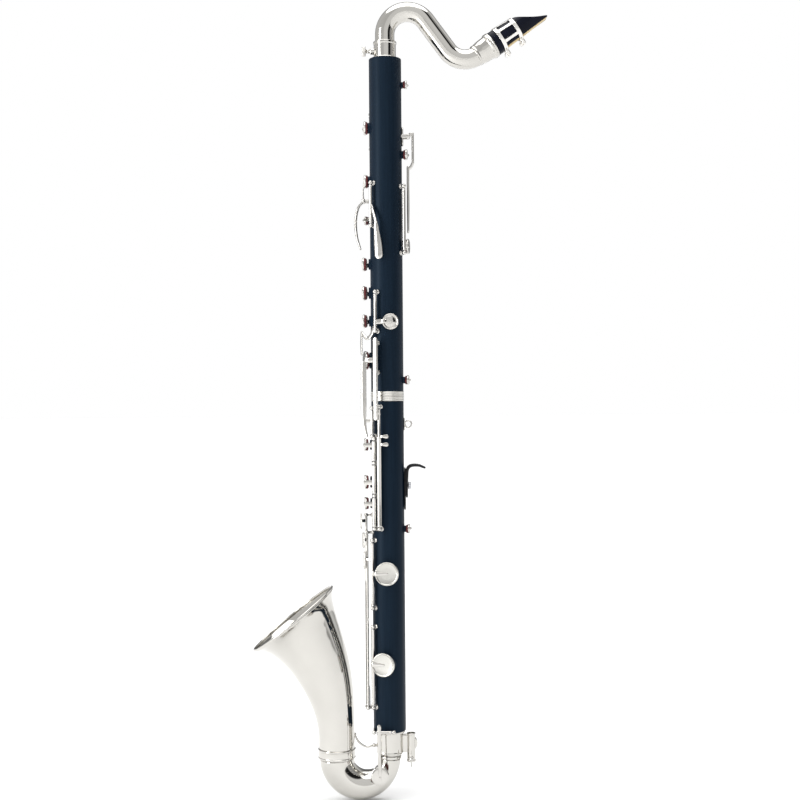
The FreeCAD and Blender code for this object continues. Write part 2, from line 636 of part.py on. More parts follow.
def mouthpiece_cork():
    cork = ring(12.1, 11.02, -TENON + 2, -3.0)
    return mouth_frame(cork)


def reed():
    """Cane reed: thick at its butt and thin at the tip, flat side on the table."""
    slope = (TABLE_DROP - TIP_DROP) / (MOUTH_LENGTH + 1 - TABLE_FROM)
    def table_at(s):
        return -TABLE_DROP + slope * (s - TABLE_FROM)
    butt, heel, tip = TABLE_FROM + 0.6, 44.0, MOUTH_LENGTH - 0.6
    side = [V(table_at(butt) - 0.02, 0, butt), V(table_at(tip) - 0.02, 0, tip),
            V(table_at(tip) - 0.35, 0, tip), V(table_at(heel) - 2.4, 0, heel),
            V(table_at(butt) - 2.6, 0, butt)]
    solid = Part.Face(Part.makePolygon([p - V(0, 7.5, 0) for p in side + side[:1]])).extrude(V(0, 15.0, 0))
    round_back = Part.makeCone(BASE_R + 0.05, BASE_R - 4.4, MOUTH_LENGTH, V(0, 0, 0))
    return mouth_frame(solid.common(round_back))


LIG_LOW = 10.9
LIG_HIGH = 35.6


def lig_r(s):
    return BASE_R + 0.35 - (BASE_R - BEAK_R) / BEAK_FROM * s * 0.9


def ligature():
    """Two bands round the mouthpiece, joined by bridges, with a pair of lugs below each screw."""
    bands = [ring(lig_r(s) + 1.1, lig_r(s), s - 2.4, s + 2.4) for s in (LIG_LOW, LIG_HIGH)]
    bridges = []
    for phi in (20, 62, -20, -62, 118, -118):
        low = polar(lig_r(LIG_LOW) + 0.55, phi, LIG_LOW)
        high = polar(lig_r(LIG_HIGH) + 0.55, phi, LIG_HIGH)
        bridges.append(plate(low, high, 4.0, 0.9, radial(phi)))
    lugs = []
    for s in (LIG_LOW, LIG_HIGH):
        for y in (-5.2, 2.4):
            lugs.append(Part.makeBox(6.6, 2.8, 4.8, V(-lig_r(s) - 6.6, y, s - 2.4)))
    frame = fuse(bands + bridges + lugs)
    for s in (LIG_LOW, LIG_HIGH):
        frame = frame.cut(Part.makeBox(8.0, 4.8, 5.4, V(-lig_r(s) - 7.2, -2.4, s - 2.7)))
        frame = frame.cut(rod(V(-lig_r(s) - 4.0, -9, s), V(-lig_r(s) - 4.0, 9, s), 1.3))
    return mouth_frame(frame)


def ligature_screw(s):
    x = -lig_r(s) - 4.0
    shank = rod(V(x, 6.6, s), V(x, -9.4, s), 1.25)
    head = rod(V(x, -5.5, s), V(x, -12.0, s), 3.6)
    return mouth_frame(fuse([shank, knurled(head, V(x, -5.5, s), V(0, -1, 0), 3.6, 6.5, 14)]))


def turn_neck(shape):
    moved = shape.copy()
    moved.rotate(V(0, 0, 0), UP, NECK_TURN)
    return moved


# ---- bow and bell -----------------------------------------------------------------------
BOW_SECTIONS = [(0, 13.85), (25, 14.0), (50, 15.8), (75, 18.4), (90, 19.5), (110, 20.8), (135, 21.9),
                (160, 22.4), (180, 22.5)]


def bow_point(angle):
    """Centre of the bow's section after turning this far from its body end."""
    a = math.radians(angle)
    return V(-BOW_R + BOW_R * math.cos(a), 0, BOW_Z - BOW_R * math.sin(a))


def bow_solid(shrink, over):
    """Loft through round sections along the bow, lengthened by `over` at both ends."""
    wires = []
    for angle, r in BOW_SECTIONS:
        a = math.radians(angle)
        along = V(-math.sin(a), 0, -math.cos(a))
        wires.append(Part.Wire(Part.makeCircle(r - shrink, bow_point(angle), along)))
    body = Part.makeLoft(wires, True, False)
    if over:
        first, last = BOW_SECTIONS[0][1] - shrink, BOW_SECTIONS[-1][1] - shrink
        body = fuse([body, Part.makeCylinder(first, over, V(0, 0, BOW_Z)),
                     Part.makeCylinder(last, over, V(-2 * BOW_R, 0, BOW_Z))])
    return body


def bow():
    outer = bow_solid(0.0, 0.0)
    chimney = Part.makeCylinder(BOW_KEY_SIZE / 2 - 2.2, 13.0, BOW_KEY_SEAT + V(0, 13.0, 0), V(0, -1, 0))
    hole = Part.makeCylinder(BOW_KEY_SIZE / 2 - 4.2, 15.0, BOW_KEY_SEAT + V(0, 13.0, 0), V(0, -1, 0))
    shell = fuse([outer, chimney]).cut(bow_solid(1.2, 2.0))
    return shell.cut(hole)


def bow_collar():
    """Metal collar that joins the wooden body to the bow."""
    profile = [(-1.0, 14.6), (-1.0, 16.9), (-3.0, 17.3), (-28.0, 17.3), (-31.0, 16.4), (-32.0, 15.6),
               (-32.0, 13.9), (-34.5, 13.9), (-34.5, 12.7), (-1.0, 12.7)]
    collar = turned(profile, V(0, 0, 0), UP)
    tenon = ring(13.6, 12.0, -1.2, 13.0)
    flange = ring(20.4, 12.7, -2.6, -0.1)
    return fuse([collar, tenon, flange]).cut(Part.makeCylinder(12.0, 60, V(0, 0, -40)))


def bow_ferrules():
    """Flat rings where the bow meets the collar and the bell."""
    small = ring(15.2, 14.05, BOW_Z - 0.0, BOW_Z + 3.6)
    large = ring(24.9, 23.8, BOW_Z + 0.0, BOW_Z + 13.0, -2 * BOW_R)
    return [small, large]


def bell_station(s):
    """Centre and direction of the bell's centre line at distance s from its foot."""
    straight = BELL_ARC_Z - BELL_FOOT_Z
    if s <= straight:
        return V(-2 * BOW_R, 0, BELL_FOOT_Z + s), V(0, 0, 1)
    a = (s - straight) / BELL_ARC_R
    centre = V(-2 * BOW_R - BELL_ARC_R + BELL_ARC_R * math.cos(a), 0, BELL_ARC_Z + BELL_ARC_R * math.sin(a))
    return centre, V(-math.sin(a), 0, math.cos(a))


def bell_solid(sections, shrink):
    """Loft through round sections square to the bell's centre line."""
    wires = []
    for s, r in sections:
        centre, along = bell_station(s)
        wires.append(Part.Wire(Part.makeCircle(r - shrink, centre, along)))
    return Part.makeLoft(wires, True, False)


def bell():
    """Outer skin less an inner one that runs on past both ends."""
    inner = [(BELL_SEAT - 2.0, 23.7)] + BELL_PROFILE + [(184.5, 67.1)]
    return bell_solid(BELL_PROFILE, 0.0).cut(bell_solid(inner, BELL_WALL))


def bell_rim():
    """Rolled wire edge of the bell's mouth."""
    centre, along = bell_station(BELL_PROFILE[-1][0])
    return Part.makeTorus(65.6, 1.55, centre + along * 1.4, along)


def bell_brace():
    """Thin stay from the bell to the collar, with a ball at each end."""
    points = [V(-46.3, 0, -6), V(-40.5, 0, -16.5), V(-31, 0, -22.3), V(-21.8, 0, -20.4)]
    curve = Part.BSplineCurve()
    curve.interpolate(points)
    path = Part.Wire([curve.toShape()])
    direction = curve.tangent(0)[0]
    wire = path.makePipeShell([Part.Wire(Part.makeCircle(1.3, points[0], direction))], True, False)
    ends = [ball(points[0], 2.6), ball(points[-1], 2.6), rod(points[-1], V(-17.5, 0, -20.4), 1.8)]
    stay = fuse([wire] + ends)
    stay = stay.cut(Part.makeCylinder(23.75, 80, V(-2 * BOW_R, 0, -60)))
    return stay.cut(Part.makeCylinder(17.3, 60, V(0, 0, -50)))


# ---- export -------------------------------------------------------------------------------
def write(name, shapes):
    """Write one node: a list of separate solids, moved to the part's own origin."""
    solids = []
    for shape in shapes:
        for solid in shape.Solids:
            moved = solid.copy()
            moved.translate(V(0, 0, 0) - ORIGIN)
            solids.append(moved)
    node = solids[0] if len(solids) == 1 else Part.makeCompound(solids)
    node.exportStep("parts/%s.step" % name)
    box = node.BoundBox
    print("%-22s %2d solid(s)  valid %s  x %.1f..%.1f  y %.1f..%.1f  z %.1f..%.1f" % (
        name, len(solids), node.isValid(), box.XMin, box.XMax, box.YMin, box.YMax, box.ZMin, box.ZMax))


def write_body():
    write("upper_joint", [upper_joint()])
    write("lower_joint", [lower_joint()])
    write("upper_joint_band", [joint_band(JOINT_Z + 0.02)])
    write("lower_joint_band", [joint_band(JOINT_Z - BAND_H - 0.02)])
    write("middle_tenon_cork", [ring(15.7, 14.62, JOINT_Z - 15.9, JOINT_Z - 3.1)])
    write("upper_posts", posts(JOINT_Z, BODY_TOP, throat_posts()))
    write("lower_posts", posts(0, JOINT_Z, bow_key_posts()))
    pins = [rod(THROAT_A_PIVOT - V(0, 9.5, 0), THROAT_A_PIVOT + V(0, 9.5, 0), ROD_R)]
    write("upper_hinge_rods", joined_rods(hinge_rods(425, 900) + pins))
    bow_pin = rod(V(-21.5, BOW_KEY_PIVOT.y, BOW_KEY_PIVOT.z), V(6.5, BOW_KEY_PIVOT.y, BOW_KEY_PIVOT.z), ROD_R)
    write("lower_hinge_rods", joined_rods(hinge_rods(0, 425) + [bow_pin]))
    write("needle_springs", needle_springs())


def write_fittings():
    write("register_saddle", [register_saddle()])
    write("strap_ring", [strap_ring().cut(strap_ring_bore())])
    write("thumb_rest_plate", [thumb_rest_plate()])
    write("thumb_rest_hook", [thumb_rest_hook()])
    write("thumb_rest_screw", [thumb_rest_screw()])
    write("peg_receiver", [peg_receiver()])
    write("peg_clamp_screw", [peg_clamp_screw()])
    write("bow_collar", [bow_collar()])
    write("bow", [bow()])
    write("bow_ferrules", bow_ferrules())
    write("bell", [bell()])
    write("bell_rim", [bell_rim()])
    write("bell_brace", [bell_brace()])


def write_neck():
    write("neck_receiver", [neck_receiver()])
    write("neck_clamp_screw", [neck_clamp_screw()])
    parts = {"neck_tube": neck_tube(), "neck_socket": neck_socket(), "mouthpiece": mouthpiece(),
             "mouthpiece_cork": mouthpiece_cork(), "reed": reed(), "ligature": ligature(),
             "ligature_screw_lower": ligature_screw(LIG_LOW),
             "ligature_screw_upper": ligature_screw(LIG_HIGH)}
    for name, shape in parts.items():
        write(name, [turn_neck(shape)])


# keys whose pad is a node of its own; the others hold it as a second solid
PAD_NODES = ("low_e_key", "low_e_flat_key")


def write_keys():
    for name in KEYS:
        metal = stood_open(name, key_metal(name))
        pads = [stood_open(name, p) for p in key_pads(name)]
        if name in PAD_NODES:
            write(name, [metal])
            write(name.replace("_key", "_pad"), pads)
        else:
            write(name, [metal] + pads)
    write("register_key", [register_key()])
    write("throat_a_key", [throat_a_metal(), pad(180, THROAT_PAD_Z, 18)])
    write("bow_key", [bow_stood_open(bow_key_metal())])
    write("bow_pad", [bow_stood_open(bow_key_pad())])
    for name in LEVERS:
        write(name, [lever_key(name)])


if __name__ == "__main__":
    os.makedirs("parts", exist_ok=True)
    write_body()
    write_fittings()
    write_neck()
    write_keys()
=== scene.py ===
"""Looks of a low bass clarinet, built round its fixed frame.

Shapes are worked out in millimetres about the body's axis, with height 0 at the body's lower end
and angle 0 on the player's side, and moved into the frame when they become meshes.
"""
import math

import bpy
import numpy as np
from mathutils import Matrix, Vector


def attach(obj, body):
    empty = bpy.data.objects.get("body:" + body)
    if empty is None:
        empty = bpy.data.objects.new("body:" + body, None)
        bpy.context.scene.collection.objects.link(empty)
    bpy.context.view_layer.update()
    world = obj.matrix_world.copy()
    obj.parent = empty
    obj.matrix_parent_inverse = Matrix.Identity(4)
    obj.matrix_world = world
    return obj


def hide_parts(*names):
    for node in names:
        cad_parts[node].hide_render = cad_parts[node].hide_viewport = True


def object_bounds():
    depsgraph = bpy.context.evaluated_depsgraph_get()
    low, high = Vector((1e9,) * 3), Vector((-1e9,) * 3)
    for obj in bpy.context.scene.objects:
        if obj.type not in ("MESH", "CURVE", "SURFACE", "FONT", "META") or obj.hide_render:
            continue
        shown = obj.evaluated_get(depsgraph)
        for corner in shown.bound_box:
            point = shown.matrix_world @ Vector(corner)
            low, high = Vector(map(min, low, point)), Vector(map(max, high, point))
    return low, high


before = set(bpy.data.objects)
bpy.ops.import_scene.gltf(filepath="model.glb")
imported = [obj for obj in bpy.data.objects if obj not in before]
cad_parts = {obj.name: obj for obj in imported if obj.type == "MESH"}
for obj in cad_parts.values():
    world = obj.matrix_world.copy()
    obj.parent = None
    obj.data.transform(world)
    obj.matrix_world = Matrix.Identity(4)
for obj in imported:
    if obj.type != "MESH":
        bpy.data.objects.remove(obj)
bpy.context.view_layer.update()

MM = 0.001
PEG_AXIS = np.array([28.0, 0.0, -42.0])   # the frame's origin, in layout coordinates
BODY_R = 21.3
BORE_R = 11.7
BODY_TOP = 884.0
JOINT_Z = 439.9
BAND_H = 6.3
SEAT_R = 23.5
PAD_TOP = 27.0
CUP_LOW = 26.2
CUP_TOP = 28.9
HINGE_R = 26.6
TUBE_R = 2.2
BALL_R = 2.9
POST_GAP = 0.3
NECK_TURN = 2.0
NECK_R = 12.75
NECK_WALL = 1.3
SOCKET_TILT = 34.0
SOCKET_FROM = np.array([121.2, 0.0, 889.3])
SOCKET_LENGTH = 26.2
MOUTH_LENGTH = 79.0
BOW_R = 35.0
BOW_Z = -36.4
BOW_KEY_PIVOT = np.array([-3.0, -26.0, 2.6])
BOW_KEY_SEAT = np.array([-13.0, -16.6, -54.0])
BOW_KEY_SIZE = 24.0
BOW_KEY_OPEN = 5.0
REGISTER_PIVOT = np.array([30.0, 0.0, 782.0])
THROAT_A_PIVOT = np.array([-29.5, 0.0, 697.0])
THROAT_A_HOLE = (180, 723, 18)            # angle, height and pad size
PEG_SCREW = np.array([28.0, 0.0, -36.5])
NECK_SCREW_Z = 895
STRAP_RING_Z = 403
THUMB_SCREW_Z = 322
MIDDLE = np.array([0.0, 0.0, 0.0])
UP = np.array([0.0, 0.0, 1.0])
SIDE = np.array([0.0, 1.0, 0.0])
FRONT = np.array([1.0, 0.0, 0.0])


# ---- vectors ----
def unit(v):
    """v / |v|."""
    v = np.asarray(v, float)
    return v / np.linalg.norm(v)


def radial(phi):
    """(cos phi, sin phi, 0)."""
    a = math.radians(phi)
    return np.array([math.cos(a), math.sin(a), 0.0])


def polar(r, phi, z):
    """Point at distance r from the body's axis, bearing phi, height z."""
    return radial(phi) * r + UP * z


def spin(points, centre, axis, degrees):
    """Points turned about a line: p + sin a (n x p) + (1 - cos a) n x (n x p)."""
    p = np.asarray(points, float) - centre
    n = unit(axis)
    a = math.radians(degrees)
    across = np.cross(n, p)
    return centre + p + math.sin(a) * across + (1 - math.cos(a)) * np.cross(n, across)


def curve(points, count):
    """Smooth line through points: a Catmull-Rom cubic between each neighbouring pair."""
    p = np.asarray(points, float)
    if len(p) == 2:
        return p[0] + (p[1] - p[0]) * np.linspace(0, 1, count)[:, None]
    ext = np.vstack([2 * p[0] - p[1], p, 2 * p[-1] - p[-2]])
    t = np.linspace(0, len(p) - 1, count)
    i = np.minimum(t.astype(int), len(p) - 2)
    f = (t - i)[:, None]
    a, b, c, d = ext[i], ext[i + 1], ext[i + 2], ext[i + 3]
    square, cube = 2 * a - 5 * b + 4 * c - d, 3 * b - a - 3 * c + d
    return 0.5 * (2 * b + (c - a) * f + square * f ** 2 + cube * f ** 3)


def soften(points, radius, steps=5, closed=False):
    """Outline with each corner replaced by a quadratic curve that starts `radius` before it."""
    p = np.asarray(points, float)
    before, after = np.roll(p, 1, 0) - p, np.roll(p, -1, 0) - p
    left, right = (np.linalg.norm(side, axis=1)[:, None] for side in (before, after))
    a = p + before / left * np.minimum(radius, left * 0.45)
    b = p + after / right * np.minimum(radius, right * 0.45)
    t = np.linspace(0, 1, steps)[:, None]
    bends = (1 - t) ** 2 * a[:, None] + 2 * t * (1 - t) * p[:, None] + t ** 2 * b[:, None]
    if closed:
        return bends.reshape(-1, 2)
    return np.vstack([p[:1], bends[1:-1].reshape(-1, 2), p[-1:]])


# ---- patches: (points, quads, triangles) ----
def rings(P, wrap=False):
    """Closed skin over stacked rings P[i, j]; each end is closed by a fan unless the stack wraps."""
    rows, cols = P.shape[:2]
    points = P.reshape(-1, 3)
    last = rows if wrap else rows - 1
    i, j = np.meshgrid(np.arange(last), np.arange(cols), indexing="ij")
    k, n = (i + 1) % rows, (j + 1) % cols
    quads = np.stack([i * cols + j, i * cols + n, k * cols + n, k * cols + j], -1).reshape(-1, 4)
    triangles = np.zeros((0, 3), int)
    if not wrap:
        low, high = len(points), len(points) + 1
        points = np.vstack([points, P[0].mean(0), P[-1].mean(0)])
        col = np.arange(cols)
        nxt = (col + 1) % cols
        top = (rows - 1) * cols
        triangles = np.vstack([np.stack([np.full(cols, low), nxt, col], -1),
                               np.stack([np.full(cols, high), top + col, top + nxt], -1)])
    return outward(points, quads, triangles)


def outward(points, quads, triangles):
    """Turn every face round if the skin's signed volume, the sum of a . (b x c) / 6, is negative."""
    fan = np.vstack([quads[:, [0, 1, 2]], quads[:, [0, 2, 3]], triangles])
    a, b, c = (points[fan] - points.mean(0)).transpose(1, 0, 2)
    if np.einsum("ij,ij->", a, np.cross(b, c)) > 0:
        return points, quads, triangles
    return points, quads[:, ::-1], triangles[:, ::-1]


def lathe(profile, base, axis, count=48, wrap=False):
    """Turned shape: each (s, r) of the profile is a circle of radius r at base + s * axis."""
    axis = unit(axis)
    u = unit(np.cross(SIDE if abs(axis[1]) < 0.9 else FRONT, axis))
    v = np.cross(axis, u)
    a = np.linspace(0, 2 * math.pi, count, endpoint=False)
    circle = np.cos(a)[:, None] * u + np.sin(a)[:, None] * v
    s, r = np.asarray(profile, float).T
    P = base + s[:, None, None] * axis + np.maximum(r, 0.01)[:, None, None] * circle
    return rings(P, wrap)


def hoop(outline, radius, steps, base, axis, count):
    """Ring turned from a closed outline of (s, r) with its corners softened."""
    return lathe(soften(outline, radius, steps, closed=True), base, axis, count, wrap=True)


def spindle(outline, radius, steps, base, axis, count):
    """Solid turned from an outline of (s, r) with its corners softened."""
    return lathe(soften(outline, radius, steps), base, axis, count)


def ribbed(s_low, s_high, r, depth, ridges, base, axis):
    """Knurled knob: a disc whose radius is r - depth * (1 + cos(ridges * a)) / 2, with softened ends."""
    axis = unit(axis)
    u = unit(np.cross(SIDE if abs(axis[1]) < 0.9 else FRONT, axis))
    v = np.cross(axis, u)
    a = np.linspace(0, 2 * math.pi, ridges * 6, endpoint=False)
    circle = np.cos(a)[:, None] * u + np.sin(a)[:, None] * v
    rim = soften([(s_low, 0.01), (s_low, r - 0.5), (s_low + 0.5, r), (s_high - 0.5, r), (s_high, r - 0.5),
                  (s_high, 0.01)], 0.4, 3)
    s, radius = rim.T
    full = radius[:, None] * (1 - depth / r * (1 + np.cos(ridges * a)) / 2)
    P = base + s[:, None, None] * axis + full[:, :, None] * circle
    return rings(P)


def sphere(centre, r, count=20):
    """Ball: circles of radius r sin a at height -r cos a."""
    a = np.linspace(0.02, math.pi - 0.02, count // 2)
    return lathe(np.stack([-r * np.cos(a), r * np.sin(a)], -1), np.asarray(centre, float), UP, count)


def strip(points, width, thick, face, count=28, power=2.6, across_to=None):
    """Forged bar: a superellipse section |x/w|^p + |y/h|^p = 1 carried along a smooth line.

    Width and thickness are numbers or lists of values spread along the line; each end closes in
    a half-ellipse. `face` is the way the broad side looks, or `across_to` the way its width runs."""
    line = curve(points, count)
    length = np.concatenate([[0], np.cumsum(np.linalg.norm(np.diff(line, axis=0), axis=1))])
    total = length[-1]
    place = length / total
    w = np.interp(place, np.linspace(0, 1, np.size(width)), np.atleast_1d(width)) / 2
    h = np.interp(place, np.linspace(0, 1, np.size(thick)), np.atleast_1d(thick)) / 2
    tangent = np.gradient(line, axis=0)
    tangent /= np.linalg.norm(tangent, axis=1)[:, None]
    across = np.cross(np.asarray(face, float), tangent)
    if across_to is not None:
        across = across_to - (tangent @ across_to)[:, None] * tangent
    across /= np.linalg.norm(across, axis=1)[:, None]
    normal = np.cross(tangent, across)
    steps = np.linspace(0, math.pi / 2, 7)[:-1]
    head = line[0] - tangent[0] * w[0] * np.cos(steps)[:, None]
    tail = line[-1] + tangent[-1] * w[-1] * np.cos(steps)[::-1][:, None]
    shrink = np.sin(steps)
    line = np.vstack([head, line, tail])
    tangent_rows = [np.repeat(x[:1], 6, 0) for x in (across, normal)]
    tail_rows = [np.repeat(x[-1:], 6, 0) for x in (across, normal)]
    across = np.vstack([tangent_rows[0], across, tail_rows[0]])
    normal = np.vstack([tangent_rows[1], normal, tail_rows[1]])
    thin = np.maximum(shrink, 0.05)
    h = np.concatenate([h[0] * thin ** 0.3, h, h[-1] * thin[::-1] ** 0.3])
    w = np.concatenate([w[0] * thin, w, w[-1] * thin[::-1]])
    a = np.linspace(0, 2 * math.pi, 20, endpoint=False)
    cx = np.sign(np.cos(a)) * np.abs(np.cos(a)) ** (2 / power)
    cy = np.sign(np.sin(a)) * np.abs(np.sin(a)) ** (2 / power)
    P = (line[:, None] + (w[:, None] * cx)[:, :, None] * across[:, None]
         + (h[:, None] * cy)[:, :, None] * normal[:, None])
    return rings(P)


def hose(line, radii, count=40, inner=None):
    """Tube in the plane y = 0: circles of the given radii square to the line, and back along the
    inner radii, if given, so that the wall is one closed skin."""
    line = np.asarray(line, float)
    tangent = np.gradient(line, axis=0)
    tangent /= np.linalg.norm(tangent, axis=1)[:, None]
    u = np.cross(SIDE, tangent)
    a = np.linspace(0, 2 * math.pi, count, endpoint=False)
    circle = np.cos(a)[None, :, None] * u[:, None] + np.sin(a)[None, :, None] * SIDE
    outer = line[:, None] + np.asarray(radii, float)[:, None, None] * circle
    if inner is None:
        return rings(outer)
    back = line[:, None] + np.asarray(inner, float)[:, None, None] * circle
    return rings(np.concatenate([outer, back[::-1]]), wrap=True)


def torus(centre, axis, big, small, count=96, around=14):
    """Ring: circles of radius big + small cos a at height small sin a along the axis."""
    a = np.linspace(0, 2 * math.pi, around, endpoint=False)
    return lathe(np.stack([small * np.sin(a), big + small * np.cos(a)], -1), centre, axis, count, wrap=True)


def swung(patches, centre, axis, degrees):
    """The same patches turned about a line."""
    return [(spin(points, centre, axis, degrees), quads, triangles) for points, quads, triangles in patches]


# ---- meshes ----
def piece(name, body, patches, material, replaces=(), sharp=None):
    """One mesh from patches, smooth, riding on a body and standing for the named CAD nodes."""
    points, corners, counts, start = [], [], [], 0
    for own_points, quads, triangles in patches:
        points.append(own_points)
        corners += [quads.ravel() + start, triangles.ravel() + start]
        counts += [np.full(len(quads), 4), np.full(len(triangles), 3)]
        start += len(own_points)
    places = (np.vstack(points) - PEG_AXIS) * MM
    corners, counts = np.concatenate(corners), np.concatenate(counts)
    mesh = bpy.data.meshes.new(name)
    mesh.vertices.add(len(places))
    mesh.vertices.foreach_set("co", places.ravel())
    mesh.loops.add(len(corners))
    mesh.loops.foreach_set("vertex_index", corners)
    mesh.polygons.add(len(counts))
    mesh.polygons.foreach_set("loop_start", np.cumsum(counts) - counts)
    mesh.polygons.foreach_set("use_smooth", np.ones(len(counts), bool))
    mesh.materials.append(material)
    mesh.update(calc_edges=True)
    obj = bpy.data.objects.new(name, mesh)
    bpy.context.scene.collection.objects.link(obj)
    if sharp:
        split = obj.modifiers.new("crisp_edges", "EDGE_SPLIT")
        split.split_angle = math.radians(sharp)
    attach(obj, body)
    if replaces:
        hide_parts(*replaces)
    return obj


def plated(name, node, patches, finish=None):
    """Silver-plated piece that is fixed to the body and stands for one CAD node."""
    piece(name, "body", patches, finish or PLATE, [node])


def dress(node, material, angle=32):
    """Give a kept CAD node its finish, with its facets shaded as the curves they stand for."""
    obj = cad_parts[node]
    obj.data.materials.clear()
    obj.data.materials.append(material)
    obj.data.polygons.foreach_set("use_smooth", [True] * len(obj.data.polygons))
    weld = obj.modifiers.new("joined_facets", "WELD")
    weld.merge_threshold = 0.00001
    split = obj.modifiers.new("crisp_edges", "EDGE_SPLIT")
    split.split_angle = math.radians(angle)


# ---- materials ----
def spread(ramp, stops):
    """Fill a colour ramp from (position, colour) stops in rising order."""
    ramp.elements[0].position, ramp.elements[-1].position = stops[0][0], stops[-1][0]
    for at, colour in stops[1:-1]:
        ramp.elements.new(at)
    for element, (at, colour) in zip(ramp.elements, stops):
        element.color = (*colour, 1.0)


class Nodes:
    """Short hand for one material's node tree."""

    def __init__(self, name):
        self.material = bpy.data.materials.new(name)
        self.material.use_nodes = True
        self.tree = self.material.node_tree
        self.shader = self.tree.nodes["Principled BSDF"]
        self.place = self.tree.nodes.new("ShaderNodeTexCoord").outputs["Object"]

    def set(self, **values):
        for key, value in values.items():
            self.shader.inputs[key.replace("_", " ")].default_value = value

    def link(self, source, socket):
        self.tree.links.new(source, self.shader.inputs[socket])

    def stretched(self, scale):
        node = self.tree.nodes.new("ShaderNodeMapping")
        node.inputs["Scale"].default_value = scale
        self.tree.links.new(self.place, node.inputs["Vector"])
        return node.outputs["Vector"]

    def noise(self, scale, detail=4.0, rough=0.5, stretch=(1, 1, 1)):
        node = self.tree.nodes.new("ShaderNodeTexNoise")
        node.inputs["Scale"].default_value = scale
        node.inputs["Detail"].default_value = detail
        node.inputs["Roughness"].default_value = rough
        self.tree.links.new(self.stretched(stretch), node.inputs["Vector"])
        return node.outputs["Fac"]

    def cells(self, scale, feature="F1", stretch=(1, 1, 1)):
        node = self.tree.nodes.new("ShaderNodeTexVoronoi")
        node.feature = feature
        node.inputs["Scale"].default_value = scale
        self.tree.links.new(self.stretched(stretch), node.inputs["Vector"])
        return node.outputs["Distance"]

    def ramp(self, source, stops):
        node = self.tree.nodes.new("ShaderNodeValToRGB")
        spread(node.color_ramp, stops)
        self.tree.links.new(source, node.inputs["Fac"])
        return node.outputs["Color"]

    def span(self, source, low, high, to_low, to_high):
        node = self.tree.nodes.new("ShaderNodeMapRange")
        for socket, value in (("From Min", low), ("From Max", high), ("To Min", to_low), ("To Max", to_high)):
            node.inputs[socket].default_value = value
        self.tree.links.new(source, node.inputs["Value"])
        return node.outputs["Result"]

    def bump(self, source, strength, distance):
        node = self.tree.nodes.new("ShaderNodeBump")
        node.inputs["Strength"].default_value = strength
        node.inputs["Distance"].default_value = distance
        self.tree.links.new(source, node.inputs["Height"])
        self.link(node.outputs["Normal"], "Normal")


def blackwood():
    """Oiled dark wood: fine pores drawn out along the bore, satin with a faint blue cast."""
    m = Nodes("oiled_blackwood")
    grain = m.noise(420, 6, 0.6, (1, 1, 0.035))
    cloud = m.noise(14, 3, 0.5, (1, 1, 0.3))
    m.link(m.ramp(grain, [(0.3, (0.0036, 0.0085, 0.0165)), (0.7, (0.0056, 0.0125, 0.0230))]), "Base Color")
    m.link(m.span(cloud, 0.3, 0.7, 0.38, 0.46), "Roughness")
    m.bump(grain, 0.08, 0.0002)
    m.set(Specular_IOR_Level=0.11, Specular_Tint=(0.60, 0.80, 1.0, 1.0))
    return m.material


def plate_metal(name, colour, low, high, seed_scale=30):
    """Polished plating: mirror bright with faint cloudy wipe marks and hairline polishing lines."""
    m = Nodes(name)
    cloud = m.noise(seed_scale, 5, 0.6)
    hair = m.noise(900, 2, 0.5, (1, 1, 0.06))
    warm = tuple(c * 0.965 for c in colour)
    m.link(m.ramp(cloud, [(0.35, warm), (0.65, colour)]), "Base Color")
    m.link(m.span(cloud, 0.3, 0.75, low, high), "Roughness")
    m.bump(hair, 0.012, 0.0001)
    m.set(Metallic=1.0)
    return m.material


def leather(name, dark, light):
    """Thin pad leather: fine pebbled cells and a soft sheen."""
    m = Nodes(name)
    pores = m.cells(1500)
    cloud = m.noise(160, 4, 0.55)
    m.link(m.ramp(cloud, [(0.35, dark), (0.7, light)]), "Base Color")
    m.link(m.span(cloud, 0.3, 0.7, 0.42, 0.6), "Roughness")
    m.bump(pores, 0.25, 0.0002)
    m.set(Sheen_Weight=0.15)
    return m.material


def cork_stuff():
    """Sheet cork: warm brown cells with darker specks."""
    m = Nodes("sheet_cork")
    specks = m.cells(900)
    m.link(m.ramp(specks, [(0.1, (0.16, 0.09, 0.045)), (0.45, (0.46, 0.30, 0.16)),
                           (0.9, (0.55, 0.38, 0.22))]), "Base Color")
    m.bump(specks, 0.4, 0.0003)
    m.set(Roughness=0.85)
    return m.material


def hard_rubber():
    """Polished ebonite: blue-black with faint buffing swirls."""
    m = Nodes("polished_ebonite")
    cloud = m.noise(60, 4, 0.5)
    m.link(m.ramp(cloud, [(0.3, (0.0026, 0.0034, 0.0085)), (0.7, (0.0045, 0.0058, 0.0130))]), "Base Color")
    m.link(m.span(cloud, 0.3, 0.7, 0.16, 0.24), "Roughness")
    m.bump(cloud, 0.03, 0.0002)
    m.set(Specular_IOR_Level=0.10)
    return m.material


def cane():
    """Reed cane: straw fibres along the reed."""
    m = Nodes("reed_cane")
    fibres = m.noise(700, 4, 0.6, (0.08, 1, 0.08))
    m.link(m.ramp(fibres, [(0.3, (0.50, 0.36, 0.15)), (0.7, (0.72, 0.58, 0.32))]), "Base Color")
    m.bump(fibres, 0.2, 0.0002)
    m.set(Roughness=0.5)
    return m.material


def enamel():
    """Black lacquer over a casting: soft orange-peel and worn, slightly duller patches."""
    m = Nodes("black_lacquer")
    peel = m.noise(350, 3, 0.5)
    wear = m.noise(45, 4, 0.6)
    m.link(m.ramp(wear, [(0.3, (0.008, 0.008, 0.009)), (0.75, (0.02, 0.02, 0.022))]), "Base Color")
    m.link(m.span(wear, 0.3, 0.7, 0.22, 0.38), "Roughness")
    m.bump(peel, 0.05, 0.0002)
    m.set(Specular_IOR_Level=0.18)
    return m.material


